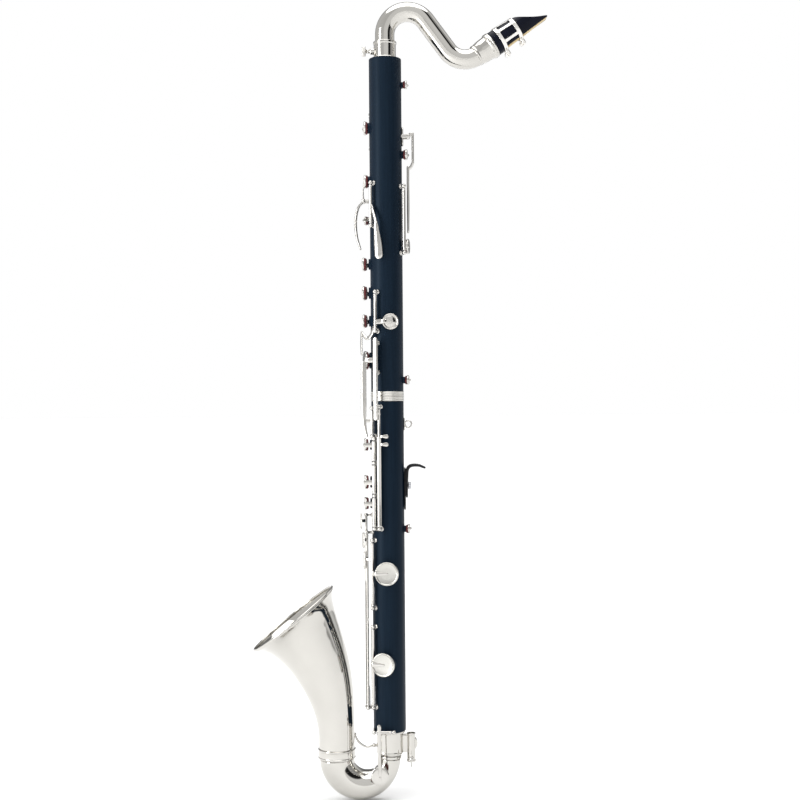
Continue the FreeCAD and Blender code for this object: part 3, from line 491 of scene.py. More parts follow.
WOOD = blackwood()
PLATE = plate_metal("silver_plate", (0.60, 0.585, 0.55), 0.06, 0.12)
KEY_PLATE = plate_metal("key_silver_plate", (0.60, 0.585, 0.555), 0.08, 0.15, 60)
SATIN = plate_metal("satin_cup_plate", (0.56, 0.55, 0.515), 0.20, 0.28, 90)
BRIGHT = plate_metal("bright_ligature_plate", (0.84, 0.82, 0.78), 0.08, 0.14, 50)
STEEL = plate_metal("ground_steel", (0.52, 0.53, 0.56), 0.22, 0.32, 120)
LEATHER = leather("pad_leather", (0.075, 0.006, 0.007), (0.14, 0.012, 0.013))
CORK = cork_stuff()
EBONITE = hard_rubber()
CANE = cane()
LACQUER = enamel()

# ---- keys laid along the body ----
# name: (hinge angle, tube low, tube high, cup angle, cup height, cup size, degrees open at rest)
KEYS = {
    "thumb_key": (-27, 631, 712, -2, 637, 20, 7),
    "lower_vent_key": (48, 742, 786, -4, 758, 14, 0),
    "upper_vent_key": (52, 796, 860, 0, 850.6, 11, 0),
    "trill_key": (138, 772, 812, 180, 793.6, 18, 0),
    "throat_gsharp_key": (222, 666, 716, 170, 672, 12, 0),
    "left_index_key": (126, 600, 628, 180, 614, 18, 7),
    "left_middle_key": (126, 562, 590, 180, 576, 19, 7),
    "left_ring_key": (126, 525, 553, 180, 539, 18, 7),
    "c_sharp_key": (236, 528, 573, 280, 537, 21.5, 0),
    "b_natural_key": (236, 474, 506, 186, 487, 25, 5),
    "side_b_flat_key": (48, 453, 480, -4, 461, 12.7, 0),
    "right_index_key": (228, 356, 381, 180, 376, 17, 7),
    "right_middle_key": (228, 313.2, 349.6, 180, 327, 19, 7),
    "right_ring_key": (228, 270, 306.8, 180, 299, 17, 7),
    "side_f_sharp_key": (48, 232, 284, -4, 265, 12.5, 0),
    "low_e_key": (217.6, 166, 248, 268, 209, 31, 6),
    "low_e_flat_key": (217.6, 36, 135, 256, 90.5, 31, 6),
}
DISHED = ("low_e_key", "low_e_flat_key")
DOMED = ("c_sharp_key",)
LEVERS = {
    "left_low_e_lever": (222, 27.2, 391, 421),
    "left_f_sharp_lever": (246, 27.2, 270, 423),
    "right_low_c_rod": (178, 29.4, 34, 280),
    "right_low_d_rod": (196, 29.4, 34, 258),
}


def tube_patch(phi, low, high, r=TUBE_R, hinge_r=HINGE_R):
    """Hinge tube with a raised collar at each end."""
    profile = soften([(low, 1.2), (low, r + 0.3), (low + 1.3, r + 0.3), (low + 1.6, r), (high - 1.6, r),
                      (high - 1.3, r + 0.3), (high, r + 0.3), (high, 1.2)], 0.25, 3)
    return lathe(profile, polar(hinge_r, phi, 0), UP, 24)


def cup_profile(name, size):
    """Outline of a cup, (distance from the body's axis, radius): a wall round the pad and a shaped back."""
    r = size / 2
    shell = [(PAD_TOP - 0.05, 0.01), (PAD_TOP - 0.05, r - 0.7), (CUP_LOW, r - 0.7), (CUP_LOW, r)]
    if name in DISHED:
        top = [(CUP_TOP - 0.7, r), (CUP_TOP, r - 0.6), (CUP_TOP, r - 1.5), (CUP_TOP - 0.9, r - 2.3),
               (CUP_TOP - 1.25, r * 0.5), (CUP_TOP - 1.35, 0.01)]
    elif name in DOMED:
        top = [(CUP_TOP - 0.6, r), (CUP_TOP + 0.3, r - 0.5), (CUP_TOP + 0.3, r - 1.5),
               (CUP_TOP - 0.7, r - 2.2), (CUP_TOP - 0.8, r - 3.6), (CUP_TOP - 0.2, r - 4.2),
               (CUP_TOP + 0.5, r * 0.3), (CUP_TOP + 0.6, 0.01)]
    else:
        top = [(CUP_TOP - 0.8, r), (CUP_TOP, r - 1.0), (CUP_TOP - 0.15, r - 2.2), (CUP_TOP - 0.45, 0.01)]
    return soften(shell + top, 0.45, 4)


def pad_profile(size):
    """Leather-covered felt disc, rounded below, with the print of the hole's rim."""
    r = size / 2 - 0.7
    foot = SEAT_R + 0.05
    rim = size / 2 - 1.9
    return soften([(foot, 0.01), (foot, rim - 1.6), (foot + 0.12, rim - 0.8), (foot + 0.02, rim),
                   (foot, r - 0.9), (foot + 0.9, r), (PAD_TOP - 0.1, r), (PAD_TOP - 0.1, 0.01)], 0.5, 4)


def arm_patch(name, phi, low, high, cup_phi, z, size):
    """Flat bar from the hinge tube over the cup's rim to its middle."""
    z_tube = min(max(z, low + 4), high - 4)
    width = min(6.0, size / 3)
    hinge = polar(HINGE_R, phi, z_tube)
    tangent = np.cross(UP, radial(cup_phi)) * (1 if phi > cup_phi else -1)
    lift = CUP_TOP + (0.3 if name not in DISHED else 0.1)
    rim = polar(lift, cup_phi, (z_tube + z) / 2) + tangent * (size / 2 - 0.2)
    middle = polar(lift - (0.9 if name in DISHED else 0.2), cup_phi, z)
    return strip([hinge, rim, (rim + middle) / 2, middle], [width, width * 1.1, width * 0.8, width * 0.55],
                 [2.0, 1.7, 1.6, 1.2], radial((phi + cup_phi) / 2))


def touches(name):
    """Finger plates and levers beyond the plain arm, by key."""
    if name == "throat_gsharp_key":
        stem = strip([polar(HINGE_R, 222, 690), polar(28.4, 231, 684), polar(28.9, 240, 672),
                      polar(28.8, 245, 660)], [4.5, 4.0, 4.0, 6.0], 2.0, radial(236))
        leaf = strip([polar(29.0, 243, 664), polar(29.0, 246, 650), polar(28.8, 248.5, 636),
                      polar(28.4, 250, 624)], [5.5, 8.5, 11.0, 11.0], [2.4, 2.8, 3.0, 2.4], radial(247), 36,
                     2.1)
        return [stem, leaf]
    if name == "trill_key":
        return [strip([polar(HINGE_R, 138, 776), polar(HINGE_R + 1.4, 118, 772),
                       polar(HINGE_R + 1, 100, 762)], 4, 1.8, radial(119)),
                strip([polar(27.6, 100, 762), polar(27.6, 100, 702)], [4, 6, 6.5], 2.0, radial(100))]
    if name == "side_f_sharp_key":
        return [strip([polar(HINGE_R, 48, 246), polar(29.5, 78, 246)], 4, 1.8, radial(62)),
                strip([polar(29.5, 78, 255), polar(29.5, 78, 239)], 7, 2.0, radial(78))]
    if name == "side_b_flat_key":
        return [strip([polar(HINGE_R, 48, 461), polar(29.5, 78, 461)], 4, 1.8, radial(62)),
                strip([polar(29.5, 78, 465), polar(29.5, 78, 449)], 7, 2.0, radial(78))]
    if name == "c_sharp_key":
        return [strip([polar(HINGE_R, 236, 533), polar(29.5, 224, 519), polar(31.5, 212, 516),
                       polar(34.6, 200, 523)], [5.0, 5.5, 5.0, 4.5], 2.0, radial(218)),
                strip([polar(35, 199, 523), polar(35.4, 199, 508), polar(35, 199, 496)], [5, 6.5, 5.5], 2.0,
                      radial(199))]
    if name == "low_e_key":
        return [strip([polar(HINGE_R, 217.6, 226), polar(33.5, 202, 226)], 4, 1.8, radial(210)),
                strip([polar(34.5, 201, 217), polar(34.5, 201, 233)], 7, 2.0, radial(201))]
    return []


def build_key(name):
    """One key on the body: hinge tube, arm, cup and leather pad, swung open as it rests."""
    phi, low, high, cup_phi, z, size, opening = KEYS[name]
    out = radial(cup_phi)
    base = UP * z
    metal = [tube_patch(phi, low, high, 3.0 if name.startswith("right_") else TUBE_R),
             arm_patch(name, phi, low, high, cup_phi, z, size)]
    cup = lathe(cup_profile(name, size), base, out, 64)
    pad = lathe(pad_profile(size), base, out, 64)
    hinge = polar(HINGE_R, phi, 0)
    lift = 1 if np.dot(np.cross(UP, polar(CUP_TOP, cup_phi, 0) - hinge), out) > 0 else -1
    *metal, cup, pad = swung(metal + touches(name) + [cup, pad], hinge, UP, lift * opening)
    pad_node = name.replace("_key", "_pad")
    nodes = [name, pad_node] if pad_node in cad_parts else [name]
    piece(name + "_arm", name, metal, KEY_PLATE)
    piece(name + "_cup", name, [cup], SATIN if name in DISHED else KEY_PLATE, nodes)
    piece(name + "_leather", name, [pad], LEATHER)


def build_levers():
    """Four little-finger levers: a hinge tube, a finger plate held out from it and feet."""
    phi, r, low, high = LEVERS["left_low_e_lever"]
    facing = radial(250)
    piece("left_low_e_lever_bar", "left_low_e_lever", [
        tube_patch(phi, low, high, 1.9, r),
        strip([polar(r, phi, 408), polar(36.0, 212, 408)], 4.5, 1.8, radial(217)),
        strip([polar(34.0, 218, 388), polar(35.6, 214, 400), polar(36.4, 212, 420), polar(36.4, 212, 482)],
              [3.0, 5.5, 8, 8, 8, 7.5], 2.2, facing, 40),
        strip([polar(r, phi, 408), polar(r + 1.2, 203, 408)], 4, 1.8, radial(212))], KEY_PLATE,
        ["left_low_e_lever"])
    phi, r, low, high = LEVERS["left_f_sharp_lever"]
    piece("left_f_sharp_lever_bar", "left_f_sharp_lever",
          [tube_patch(phi, low, high - 37, 3.0, r), tube_patch(phi, high - 38, high, 1.9, r),
           strip([polar(r, phi, 416), polar(31.6, 241.5, 418)], 5, 1.8, radial(243)),
           strip([polar(32.0, 241.5, 412), polar(32.0, 241.5, 513)], [7, 7.5, 7.5, 7], 2.0, radial(241.5)),
           strip([polar(r, phi, 387.5), polar(28.6, 256, 387.5), polar(29.2, 267, 387.5)], [4, 3.4, 5.6], 2.0,
                 radial(258)), strip([polar(r, phi, 377), polar(28.6, 256, 377), polar(29.2, 267, 377)],
                                     [4, 3.4, 5.6], 2.0, radial(258))], KEY_PLATE, ["left_f_sharp_lever"])
    for name, touch_phi, t_low, t_high, foot_phi, foot_z in (
            ("right_low_c_rod", 192, 266, 286, 164, 40), ("right_low_d_rod", 207, 242, 262, 210, 148)):
        phi, r, low, high = LEVERS[name]
        middle = min(max((t_low + t_high) / 2, low + 4), high - 3)
        piece(name + "_bar", name, [tube_patch(phi, low, high, 1.9, r),
                                                    strip([polar(r, phi, middle),
                                                           polar(34, (phi + touch_phi) / 2, middle),
                                                           polar(36.3, touch_phi, middle)], 4.5, 1.8,
                                                          radial((phi + touch_phi) / 2)),
                                                    strip([polar(36.5, touch_phi, t_low + 3.6),
                                                           polar(36.5, touch_phi, t_high - 3.6)], 7.5, 2.2,
                                                          radial(touch_phi)),
                                                    strip([polar(r, phi, foot_z),
                                                           polar(r + 1.4, foot_phi, foot_z)], 4, 1.8,
                                                          radial((phi + foot_phi) / 2))], KEY_PLATE, [name])


# ---- posts ----
def post_patch(phi, z, hinge_r):
    """Turned post: a flange on the wood, a waisted stem and a ball that holds the rod's end."""
    profile = soften([(BODY_R - 1.2, 0.01), (BODY_R - 1.2, 3.2), (BODY_R + 0.7, 3.2), (BODY_R + 1.1, 2.0),
                      (hinge_r - 2.6, 1.4)], 0.3, 3)
    a = np.linspace(0.55, math.pi - 0.02, 12)
    ball = np.stack([hinge_r - BALL_R * np.cos(a), BALL_R * np.sin(a)], -1)
    return lathe(np.vstack([profile, ball]), UP * z, radial(phi), 20)


def post_places():
    """One post past each end of every hinge line, shared where two lines meet."""
    lines = [(k[0], HINGE_R, k[1], k[2]) for k in KEYS.values()]
    lines += list(LEVERS.values())
    places = []
    for phi, r, low, high in lines:
        for z in (low - BALL_R - POST_GAP, high + BALL_R + POST_GAP):
            if not [p for p in places if p[0] == phi and abs(p[2] - z) < 8]:
                places.append((phi, r, z))
    return places


def build_posts():
    """Turned posts on both joints, the rocker's two front posts and the bow key's two."""
    upper, lower = [], []
    for phi, r, z in post_places():
        (upper if z > JOINT_Z else lower).append(post_patch(phi, z, r))
    for y in (-8.1, 8.1):
        upper.append(strip([(-17.5, y, 697), (-29.5, y, 697)], 3.0, 3.0, UP, 6, 2.0))
        upper.append(sphere((-29.5, y, 697), 2.7))
    for x in (-20.2, 5.2):
        lower.append(strip([(x, -math.sqrt(20.3 ** 2 - min(abs(x), 20) ** 2), 2.6), (x, -26, 2.6)], 3.0, 3.0,
                           UP, 6, 2.0))
        lower.append(sphere((x, -26, 2.6), 2.7))
    plated("upper_post_set", "upper_posts", upper, KEY_PLATE)
    plated("lower_post_set", "lower_posts", lower, KEY_PLATE)


# ---- wooden body ----
def chimney_patch(phi, z, size):
    """Raised tone hole: a thick-walled ring turned about the hole's axis, with a rounded seat."""
    r = size / 2 - 1.9
    profile = soften([(16, r), (SEAT_R - 0.5, r), (SEAT_R, r - 0.5), (SEAT_R, r * 0.72 + 0.3),
                      (SEAT_R - 0.6, r * 0.72), (16, r * 0.72)], 0.3, 3, closed=True)
    return lathe(profile, UP * z, radial(phi), 48, wrap=True)


def build_body():
    """Two bored joints with their chimneys, and the turned band each carries where they meet."""
    holes = [(k[3], k[4], k[5]) for k in KEYS.values()] + [THROAT_A_HOLE]
    for name, low, high, inner_low, inner_high in (
            ("upper_joint", JOINT_Z + BAND_H, BODY_TOP, JOINT_Z - 19, BODY_TOP - 12),
            ("lower_joint", 0.0, JOINT_Z - BAND_H, 0.0, JOINT_Z)):
        if name == "upper_joint":
            outline = [(inner_low, BORE_R), (inner_low, 15.5), (JOINT_Z - 16, 15.5), (JOINT_Z - 16, 14.6),
                       (JOINT_Z - 3, 14.6), (JOINT_Z - 3, 15.5), (JOINT_Z, 15.5), (JOINT_Z, 20.0),
                       (low, 20.0), (low, BODY_R), (high, BODY_R), (high, 14.0), (inner_high, 14.0),
                       (inner_high, BORE_R)]
        else:
            outline = [(14, BORE_R), (14, 14.0), (low, 14.0), (low, BODY_R), (high, BODY_R), (high, 20.0),
                       (JOINT_Z, 20.0), (JOINT_Z, 15.8), (JOINT_Z - 19.5, 15.8), (JOINT_Z - 19.5, BORE_R)]
        wood = [hoop(outline, 0.7, 4, MIDDLE, UP, 128)]
        wood += [chimney_patch(*h) for h in holes if (h[1] > JOINT_Z) == (name == "upper_joint")]
        piece(name + "_wood", "body", wood, WOOD, [name])
    band = [(0, 20.05), (0, 21.4), (0.5, 21.75), (1.6, 21.75), (2.0, 21.35), (2.5, 21.35), (2.9, 21.75),
            (3.9, 21.75), (4.3, 21.35), (4.7, 21.35), (5.1, 21.75), (5.8, 21.75), (BAND_H, 21.4),
            (BAND_H, 20.05)]
    for name, z in (("upper_joint_band", JOINT_Z + 0.05), ("lower_joint_band", JOINT_Z - BAND_H - 0.05)):
        plated(name + "_ring", name, [hoop(band, 0.2, 3, UP * z, UP, 128)])


# ---- bow and bell ----
BELL_ARC_R = 258.0
BELL_ARC_Z = -13.4
BELL_FOOT_Z = -24.0
BELL_S = [0, 20, 40, 60, 80, 100, 120, 140, 155, 168, 177, 183.5]
BELL_RADII = [23.75, 23.8, 25.2, 28.0, 31.6, 35.4, 39.1, 43.6, 47.9, 53.0, 58.8, 66.0]


def bell_line(s):
    """Centre line: straight up from the bow, then an arc that leans away from the body."""
    straight = BELL_ARC_Z - BELL_FOOT_Z
    s = np.asarray(s, float)
    a = np.maximum(s - straight, 0) / BELL_ARC_R
    x = -2 * BOW_R - BELL_ARC_R * (1 - np.cos(a))
    z = BELL_FOOT_Z + np.minimum(s, straight) + BELL_ARC_R * np.sin(a)
    return np.stack([x, 0 * x, z], -1)


def smooth_values(knots, values, at):
    """Cubic through (knot, value) pairs with Catmull-Rom slopes."""
    k, v = np.asarray(knots, float), np.asarray(values, float)
    slope = np.gradient(v, k)
    i = np.clip(np.searchsorted(k, at) - 1, 0, len(k) - 2)
    h = k[i + 1] - k[i]
    t = (at - k[i]) / h
    return ((2 * t ** 3 - 3 * t ** 2 + 1) * v[i] + (t ** 3 - 2 * t ** 2 + t) * h * slope[i]
            + (3 * t ** 2 - 2 * t ** 3) * v[i + 1] + (t ** 3 - t ** 2) * h * slope[i + 1])


def build_bell():
    """Flared shell round the bent centre line, and the rolled edge of its mouth."""
    s = np.linspace(0, BELL_S[-1], 90)
    r = smooth_values(BELL_S, BELL_RADII, s)
    line = bell_line(s)
    shell = hose(line, r, 128, r - 1.2)
    mouth = bell_line([BELL_S[-1] - 0.5, BELL_S[-1]])
    along = unit(mouth[1] - mouth[0])
    lip = torus(mouth[1] + along * 1.2, along, 65.6, 1.5, 160, 18)
    plated("bell_shell", "bell", [shell])
    plated("bell_rolled_edge", "bell_rim", [lip])


def bow_line(count=60):
    """Centre line of the bow: the lower half of a circle."""
    a = np.linspace(0, math.pi, count)
    return np.stack([-BOW_R + BOW_R * np.cos(a), 0 * a, BOW_Z - BOW_R * np.sin(a)], -1)


def build_bow():
    """Tapered half circle with its chimney, two ferrules, the collar and the bell's stay."""
    angles = [0, 25, 50, 75, 90, 110, 135, 160, 180]
    radii = [13.85, 14.0, 15.8, 18.4, 19.5, 20.8, 21.9, 22.4, 22.5]
    line = bow_line()
    r = smooth_values(angles, radii, np.linspace(0, 180, len(line)))
    chimney = hoop([(-13, 9.8), (-0.4, 9.8), (0, 9.4), (0, 8.2), (-13, 7.8)], 0.3, 3, BOW_KEY_SEAT, -SIDE, 48)
    plated("bow_shell", "bow", [hose(line, r, 96, r - 1.2), chimney])
    small = hoop([(0, 13.9), (0, 15.0), (0.5, 15.3), (3.2, 15.3), (3.7, 15.0), (3.7, 13.9)], 0.3, 3,
                 UP * BOW_Z, UP, 96)
    large = hoop([(0, 23.0), (0, 24.4), (0.6, 24.9), (2.2, 24.9), (2.8, 24.3), (10.4, 24.3), (11.0, 24.9),
                  (12.4, 24.9), (13.0, 24.4), (13.0, 23.0)], 0.3, 3, UP * BOW_Z - FRONT * 2 * BOW_R, UP, 128)
    plated("bow_ferrule_rings", "bow_ferrules", [small, large])
    collar = hoop([(-0.1, 12.2), (-0.1, 20.3), (-1.1, 20.4), (-2.4, 20.2), (-2.9, 17.6), (-5.0, 17.3),
                   (-27.0, 17.3), (-28.5, 17.6), (-30.0, 17.2), (-31.4, 16.2), (-32.2, 15.4), (-32.4, 13.9),
                   (-34.4, 13.8), (-34.5, 12.6)], 0.4, 4, MIDDLE, UP, 128)
    plated("bow_collar_sleeve", "bow_collar", [collar])
    brace = curve([(-46.8, 0, -6), (-40.5, 0, -16.5), (-31, 0, -22.3), (-21.8, 0, -20.4)], 40)
    peg = lathe([(0, 0.01), (0, 1.8), (4.5, 1.8), (4.5, 0.01)], np.array([-21.5, 0, -20.4]), FRONT, 20)
    plated("bell_brace_stay", "bell_brace",
           [hose(brace, np.full(40, 1.3), 16), sphere((-46.6, 0, -6), 2.6, 24),
            sphere((-21.0, 0, -20.4), 2.6, 24), peg])


def build_bow_key():
    """Key on the bow: a cross tube, a long bent lever and a padded cup, all swung open together."""
    r = BOW_KEY_SIZE / 2
    cup = soften([(3.4, 0.01), (3.4, r - 0.7), (1.8, r - 0.7), (1.8, r), (4.4, r), (5.3, r - 0.9),
                  (5.6, r - 3), (5.9, 0.01)], 0.45, 4)
    pad = soften([(0.05, 0.01), (0.05, r - 2.0), (0.9, r - 0.8), (3.4, r - 0.8), (3.4, 0.01)], 0.6, 4)
    back = BOW_KEY_SEAT - SIDE * 5.6
    lever = strip([(-13.6, -27.2, 10), (-13.6, -27.2, -18), (-13.6, -27.0, -34), back + (0, -0.4, 5),
                   back + (0, -0.3, -4)], [5, 4.2, 4.2, 4.6, 3.2], [2.2, 2.2, 2.0, 1.4], SIDE, 40)
    tube = spindle([(-17, 1.2), (-17, 2.5), (-15.8, 2.5), (-15.5, 2.2), (0.5, 2.2), (0.8, 2.5), (2, 2.5),
                    (2, 1.2)], 0.25, 3, BOW_KEY_PIVOT * (0, 1, 1), FRONT, 24)
    cup, pad = (lathe(outline, BOW_KEY_SEAT, -SIDE, 64) for outline in (cup, pad))
    lever, tube, cup, pad = swung([lever, tube, cup, pad], BOW_KEY_PIVOT, FRONT, -BOW_KEY_OPEN)
    piece("bow_key_lever", "bow_key", [lever, tube], KEY_PLATE)
    piece("bow_key_cup", "bow_key", [cup], KEY_PLATE, ["bow_key"])
    piece("bow_key_leather", "bow_key", [pad], LEATHER, ["bow_pad"])


# ---- neck and mouthpiece ----
def neck_turned(patches):
    """Neck parts swung about the body's axis, as the clamp allows."""
    return swung(patches, MIDDLE, UP, NECK_TURN)


def socket_axis():
    """Way the neck points at its end, SOCKET_TILT above level."""
    a = math.radians(SOCKET_TILT)
    return np.array([math.cos(a), 0, math.sin(a)])


def neck_line():
    """Up the receiver, over an arc, down a straight run, round a lower arc and up to the socket."""
    def arc(cx, cz, r, a0, a1, n):
        a = np.radians(np.linspace(a0, a1, n))
        return np.stack([cx + r * np.cos(a), 0 * a, cz + r * np.sin(a)], -1)
    rise = curve([(0, 0, BODY_TOP - 8), (0, 0, 917)], 8)[:-1]
    over = arc(30, 917, 30, 180, 35.4, 40)
    under = arc(105.7, 912.3, 28, 215.4, 304, 30)
    end = curve([under[-1], SOCKET_FROM + socket_axis() * 4], 5)[1:]
    fall = curve([over[-1], under[0]], 8)[1:-1]
    return np.vstack([rise, over, fall, under, end])


def build_neck():
    """Bent pipe with its socket, and the receiver on the body with its clamp screw."""
    line = neck_line()
    wall = hose(line, np.full(len(line), NECK_R), 96, np.full(len(line), NECK_R - NECK_WALL))
    piece("neck_pipe", "neck", neck_turned([wall]), PLATE, ["neck_tube"])
    n = SOCKET_LENGTH
    cup = hoop([(-1.5, 12.7), (-1.0, 14.0), (0.8, 14.2), (2.0, 13.6), (4.0, 14.2), (9.0, 15.0), (n - 7, 15.7),
                (n - 5.6, 17.2), (n - 3.2, 17.4), (n - 2.6, 16.7), (n - 2.0, 17.3), (n - 0.4, 17.1),
                (n, 16.4), (n, 12.7), (4.2, 12.3), (4.2, 12.6)], 0.5, 4, SOCKET_FROM, socket_axis(), 96)
    piece("neck_socket_cup", "neck", neck_turned([cup]), PLATE, ["neck_socket"])
    top = 907.5
    sleeve = hoop([(BODY_TOP + 0.05, 12.9), (BODY_TOP + 0.05, 16.6), (BODY_TOP + 0.9, 17.4),
                   (BODY_TOP + 2.0, 16.8), (BODY_TOP + 2.6, 14.6), (top - 4.2, 14.5), (top - 3.4, 15.3),
                   (top - 0.8, 15.3), (top, 14.6), (top, 12.9)], 0.4, 4, MIDDLE, UP, 96)
    boss = spindle([(11.5, 0.01), (11.5, 4.4), (18.6, 4.4), (19.5, 3.8), (19.5, 0.01)], 0.5, 4,
                   UP * NECK_SCREW_Z, -FRONT, 40)
    plated("neck_receiver_sleeve", "neck_receiver", [sleeve, boss])
    stem = lathe([(19, 0.01), (19, 2.6), (25.6, 2.6), (25.6, 0.01)], UP * NECK_SCREW_Z, -FRONT, 24)
    head = ribbed(25.5, 30.1, 6.6, 0.7, 18, UP * NECK_SCREW_Z, -FRONT)
    piece("neck_screw_head", "neck_clamp_screw", [stem, head], KEY_PLATE,
          ["neck_clamp_screw"])


BASE_R = 16.4
BEAK_FROM = 40.7
BEAK_R = 14.4
TIP_DROP = 10.6
TABLE_FROM = 9.0
TABLE_DROP = 13.4
LIG_LOW = 10.9
LIG_HIGH = 35.6


def on_mouth_axis(patch):
    """From the mouthpiece's own frame (x up, z along) onto the socket's axis."""
    along = socket_axis()
    upward = np.cross(along, SIDE) * -1.0
    upward = upward if upward[2] > 0 else -upward
    across = np.cross(along, upward)
    start = SOCKET_FROM + along * SOCKET_LENGTH
    p, quads, triangles = patch
    moved = start + p[:, :1] * upward + p[:, 1:2] * across + p[:, 2:3] * along
    return outward(spin(moved, MIDDLE, UP, NECK_TURN), quads, triangles)


def mouthpiece_patch():
    """Round shank cut by two slopes: each circle's upper and lower points are held between the
    beak's line above and the table's line below."""
    s = np.concatenate([[-20.0, -19.6, -0.2, 0.34, 0.36, 0.6, 1.0], np.linspace(1.6, MOUTH_LENGTH - 0.4, 110),
                        [MOUTH_LENGTH - 0.1, MOUTH_LENGTH]])
    r = np.interp(s, [-20, -19.5, 0.35, 0.36, 0.6, 1.0, BEAK_FROM, MOUTH_LENGTH],
                  [10.5, 11.0, 11.0, BASE_R - 0.9, BASE_R - 0.3, BASE_R, BEAK_R, BEAK_R])
    t = np.clip((s - BEAK_FROM) / (MOUTH_LENGTH - BEAK_FROM), 0, 1)
    top = BEAK_R + 0.5 + (-TIP_DROP + 1.3 - BEAK_R - 0.5) * t - 3.0 * np.sin(math.pi * t)
    top = np.where(s < BEAK_FROM, 40, top)
    low = np.where(s < TABLE_FROM, -40,
                   -TABLE_DROP + (TABLE_DROP - TIP_DROP) * (s - TABLE_FROM) / (MOUTH_LENGTH - TABLE_FROM))
    high_a = np.maximum(np.arccos(np.clip(np.maximum(top, low + 1.3) / r, -1, 1)), 0.02)[:, None]
    low_a = np.minimum(np.arccos(np.clip(low / r, -1, 1)), math.pi - 0.02)[:, None]
    side = high_a + (low_a - high_a) * np.linspace(0, 1, 34)
    flat = np.linspace(1, -1, 14)[1:-1]
    x = r[:, None] * np.hstack([np.cos(side), np.cos(low_a) + 0 * flat, np.cos(side[:, ::-1]),
                                np.cos(high_a) + 0 * flat])
    y = r[:, None] * np.hstack([np.sin(side), np.sin(low_a) * flat, -np.sin(side[:, ::-1]),
                                -np.sin(high_a) * flat])
    P = np.stack([x, y, np.broadcast_to(s[:, None], x.shape)], -1)
    return rings(P)


def reed_patch():
    """Cane strip whose back falls from the bark to a thin tip; its flat side lies on the table."""
    s = np.linspace(TABLE_FROM + 0.6, MOUTH_LENGTH - 0.5, 60)
    table = -TABLE_DROP + (TABLE_DROP - TIP_DROP) * (s - TABLE_FROM) / (MOUTH_LENGTH - TABLE_FROM) - 0.03
    thick = np.interp(s, [TABLE_FROM, 44, 60, MOUTH_LENGTH], [1.5, 1.2, 0.5, 0.15])
    half = np.interp(s, [TABLE_FROM, MOUTH_LENGTH], [5.6, 6.6])
    c = np.linspace(0, math.pi, 13)
    back = np.stack([-np.sin(c) ** 0.6, np.cos(c)], -1)
    P = np.zeros((len(s), 14, 3))
    P[:, :13, 0] = table[:, None] + thick[:, None] * back[:, 0]
    P[:, :13, 1] = half[:, None] * back[:, 1]
    P[:, 13, 0] = table
    P[:, :, 2] = s[:, None]
    return rings(P)


def lig_r(s):
    """Inner radius of the ligature, which follows the taper of the mouthpiece."""
    return BASE_R + 0.35 - (BASE_R - BEAK_R) / BEAK_FROM * s * 0.9


def build_mouthpiece():
    """Mouthpiece with its cork, reed and two-band ligature, laid along the socket's axis."""
    piece("mouthpiece_body", "mouthpiece", [on_mouth_axis(mouthpiece_patch())], EBONITE,
          ["mouthpiece"], sharp=38)
    cork = hoop([(-18, 11.02), (-18, 12.1), (-3, 12.1), (-3, 11.02)], 0.3, 3, MIDDLE, UP, 64)
    piece("tenon_cork", "mouthpiece", [on_mouth_axis(cork)], CORK, ["mouthpiece_cork"])
    piece("cane_reed", "mouthpiece", [on_mouth_axis(reed_patch())], CANE, ["reed"], sharp=40)
    metal = []
    for s in (LIG_LOW, LIG_HIGH):
        r = lig_r(s)
        band = soften([(s - 2.4, r + 0.02), (s - 2.4, r + 1.0), (s + 2.4, r + 1.0), (s + 2.4, r + 0.02)],
                      0.35, 4, True)
        metal.append(lathe(band, MIDDLE, UP, 96, wrap=True))
        for y in (-3.8, 3.8):
            metal.append(strip([(-r - 0.2, y, s), (-r - 6.0, y, s)], 4.6, 2.6, SIDE, 8, 5))
    for phi in (20, 62, -20, -62, 118, -118):
        low = polar(lig_r(LIG_LOW) + 0.55, phi, LIG_LOW)
        high = polar(lig_r(LIG_HIGH) + 0.55, phi, LIG_HIGH)
        metal.append(strip([low, high], [4.4, 3.4, 4.4], 0.9, radial(phi), 20, 4))
    piece("ligature_bands", "mouthpiece", [on_mouth_axis(m) for m in metal], BRIGHT,
          ["ligature"])
    for name, s in (("ligature_screw_lower", LIG_LOW), ("ligature_screw_upper", LIG_HIGH)):
        base = np.array([-lig_r(s) - 4.0, 0, s])
        shank = lathe([(-6.6, 0.01), (-6.6, 1.25), (9.4, 1.25), (9.4, 0.01)], base, -SIDE, 20)
        head = ribbed(5.5, 12.0, 3.6, 0.5, 14, base, -SIDE)
        piece(name + "_knob", name, [on_mouth_axis(shank), on_mouth_axis(head)], BRIGHT,
              [name])


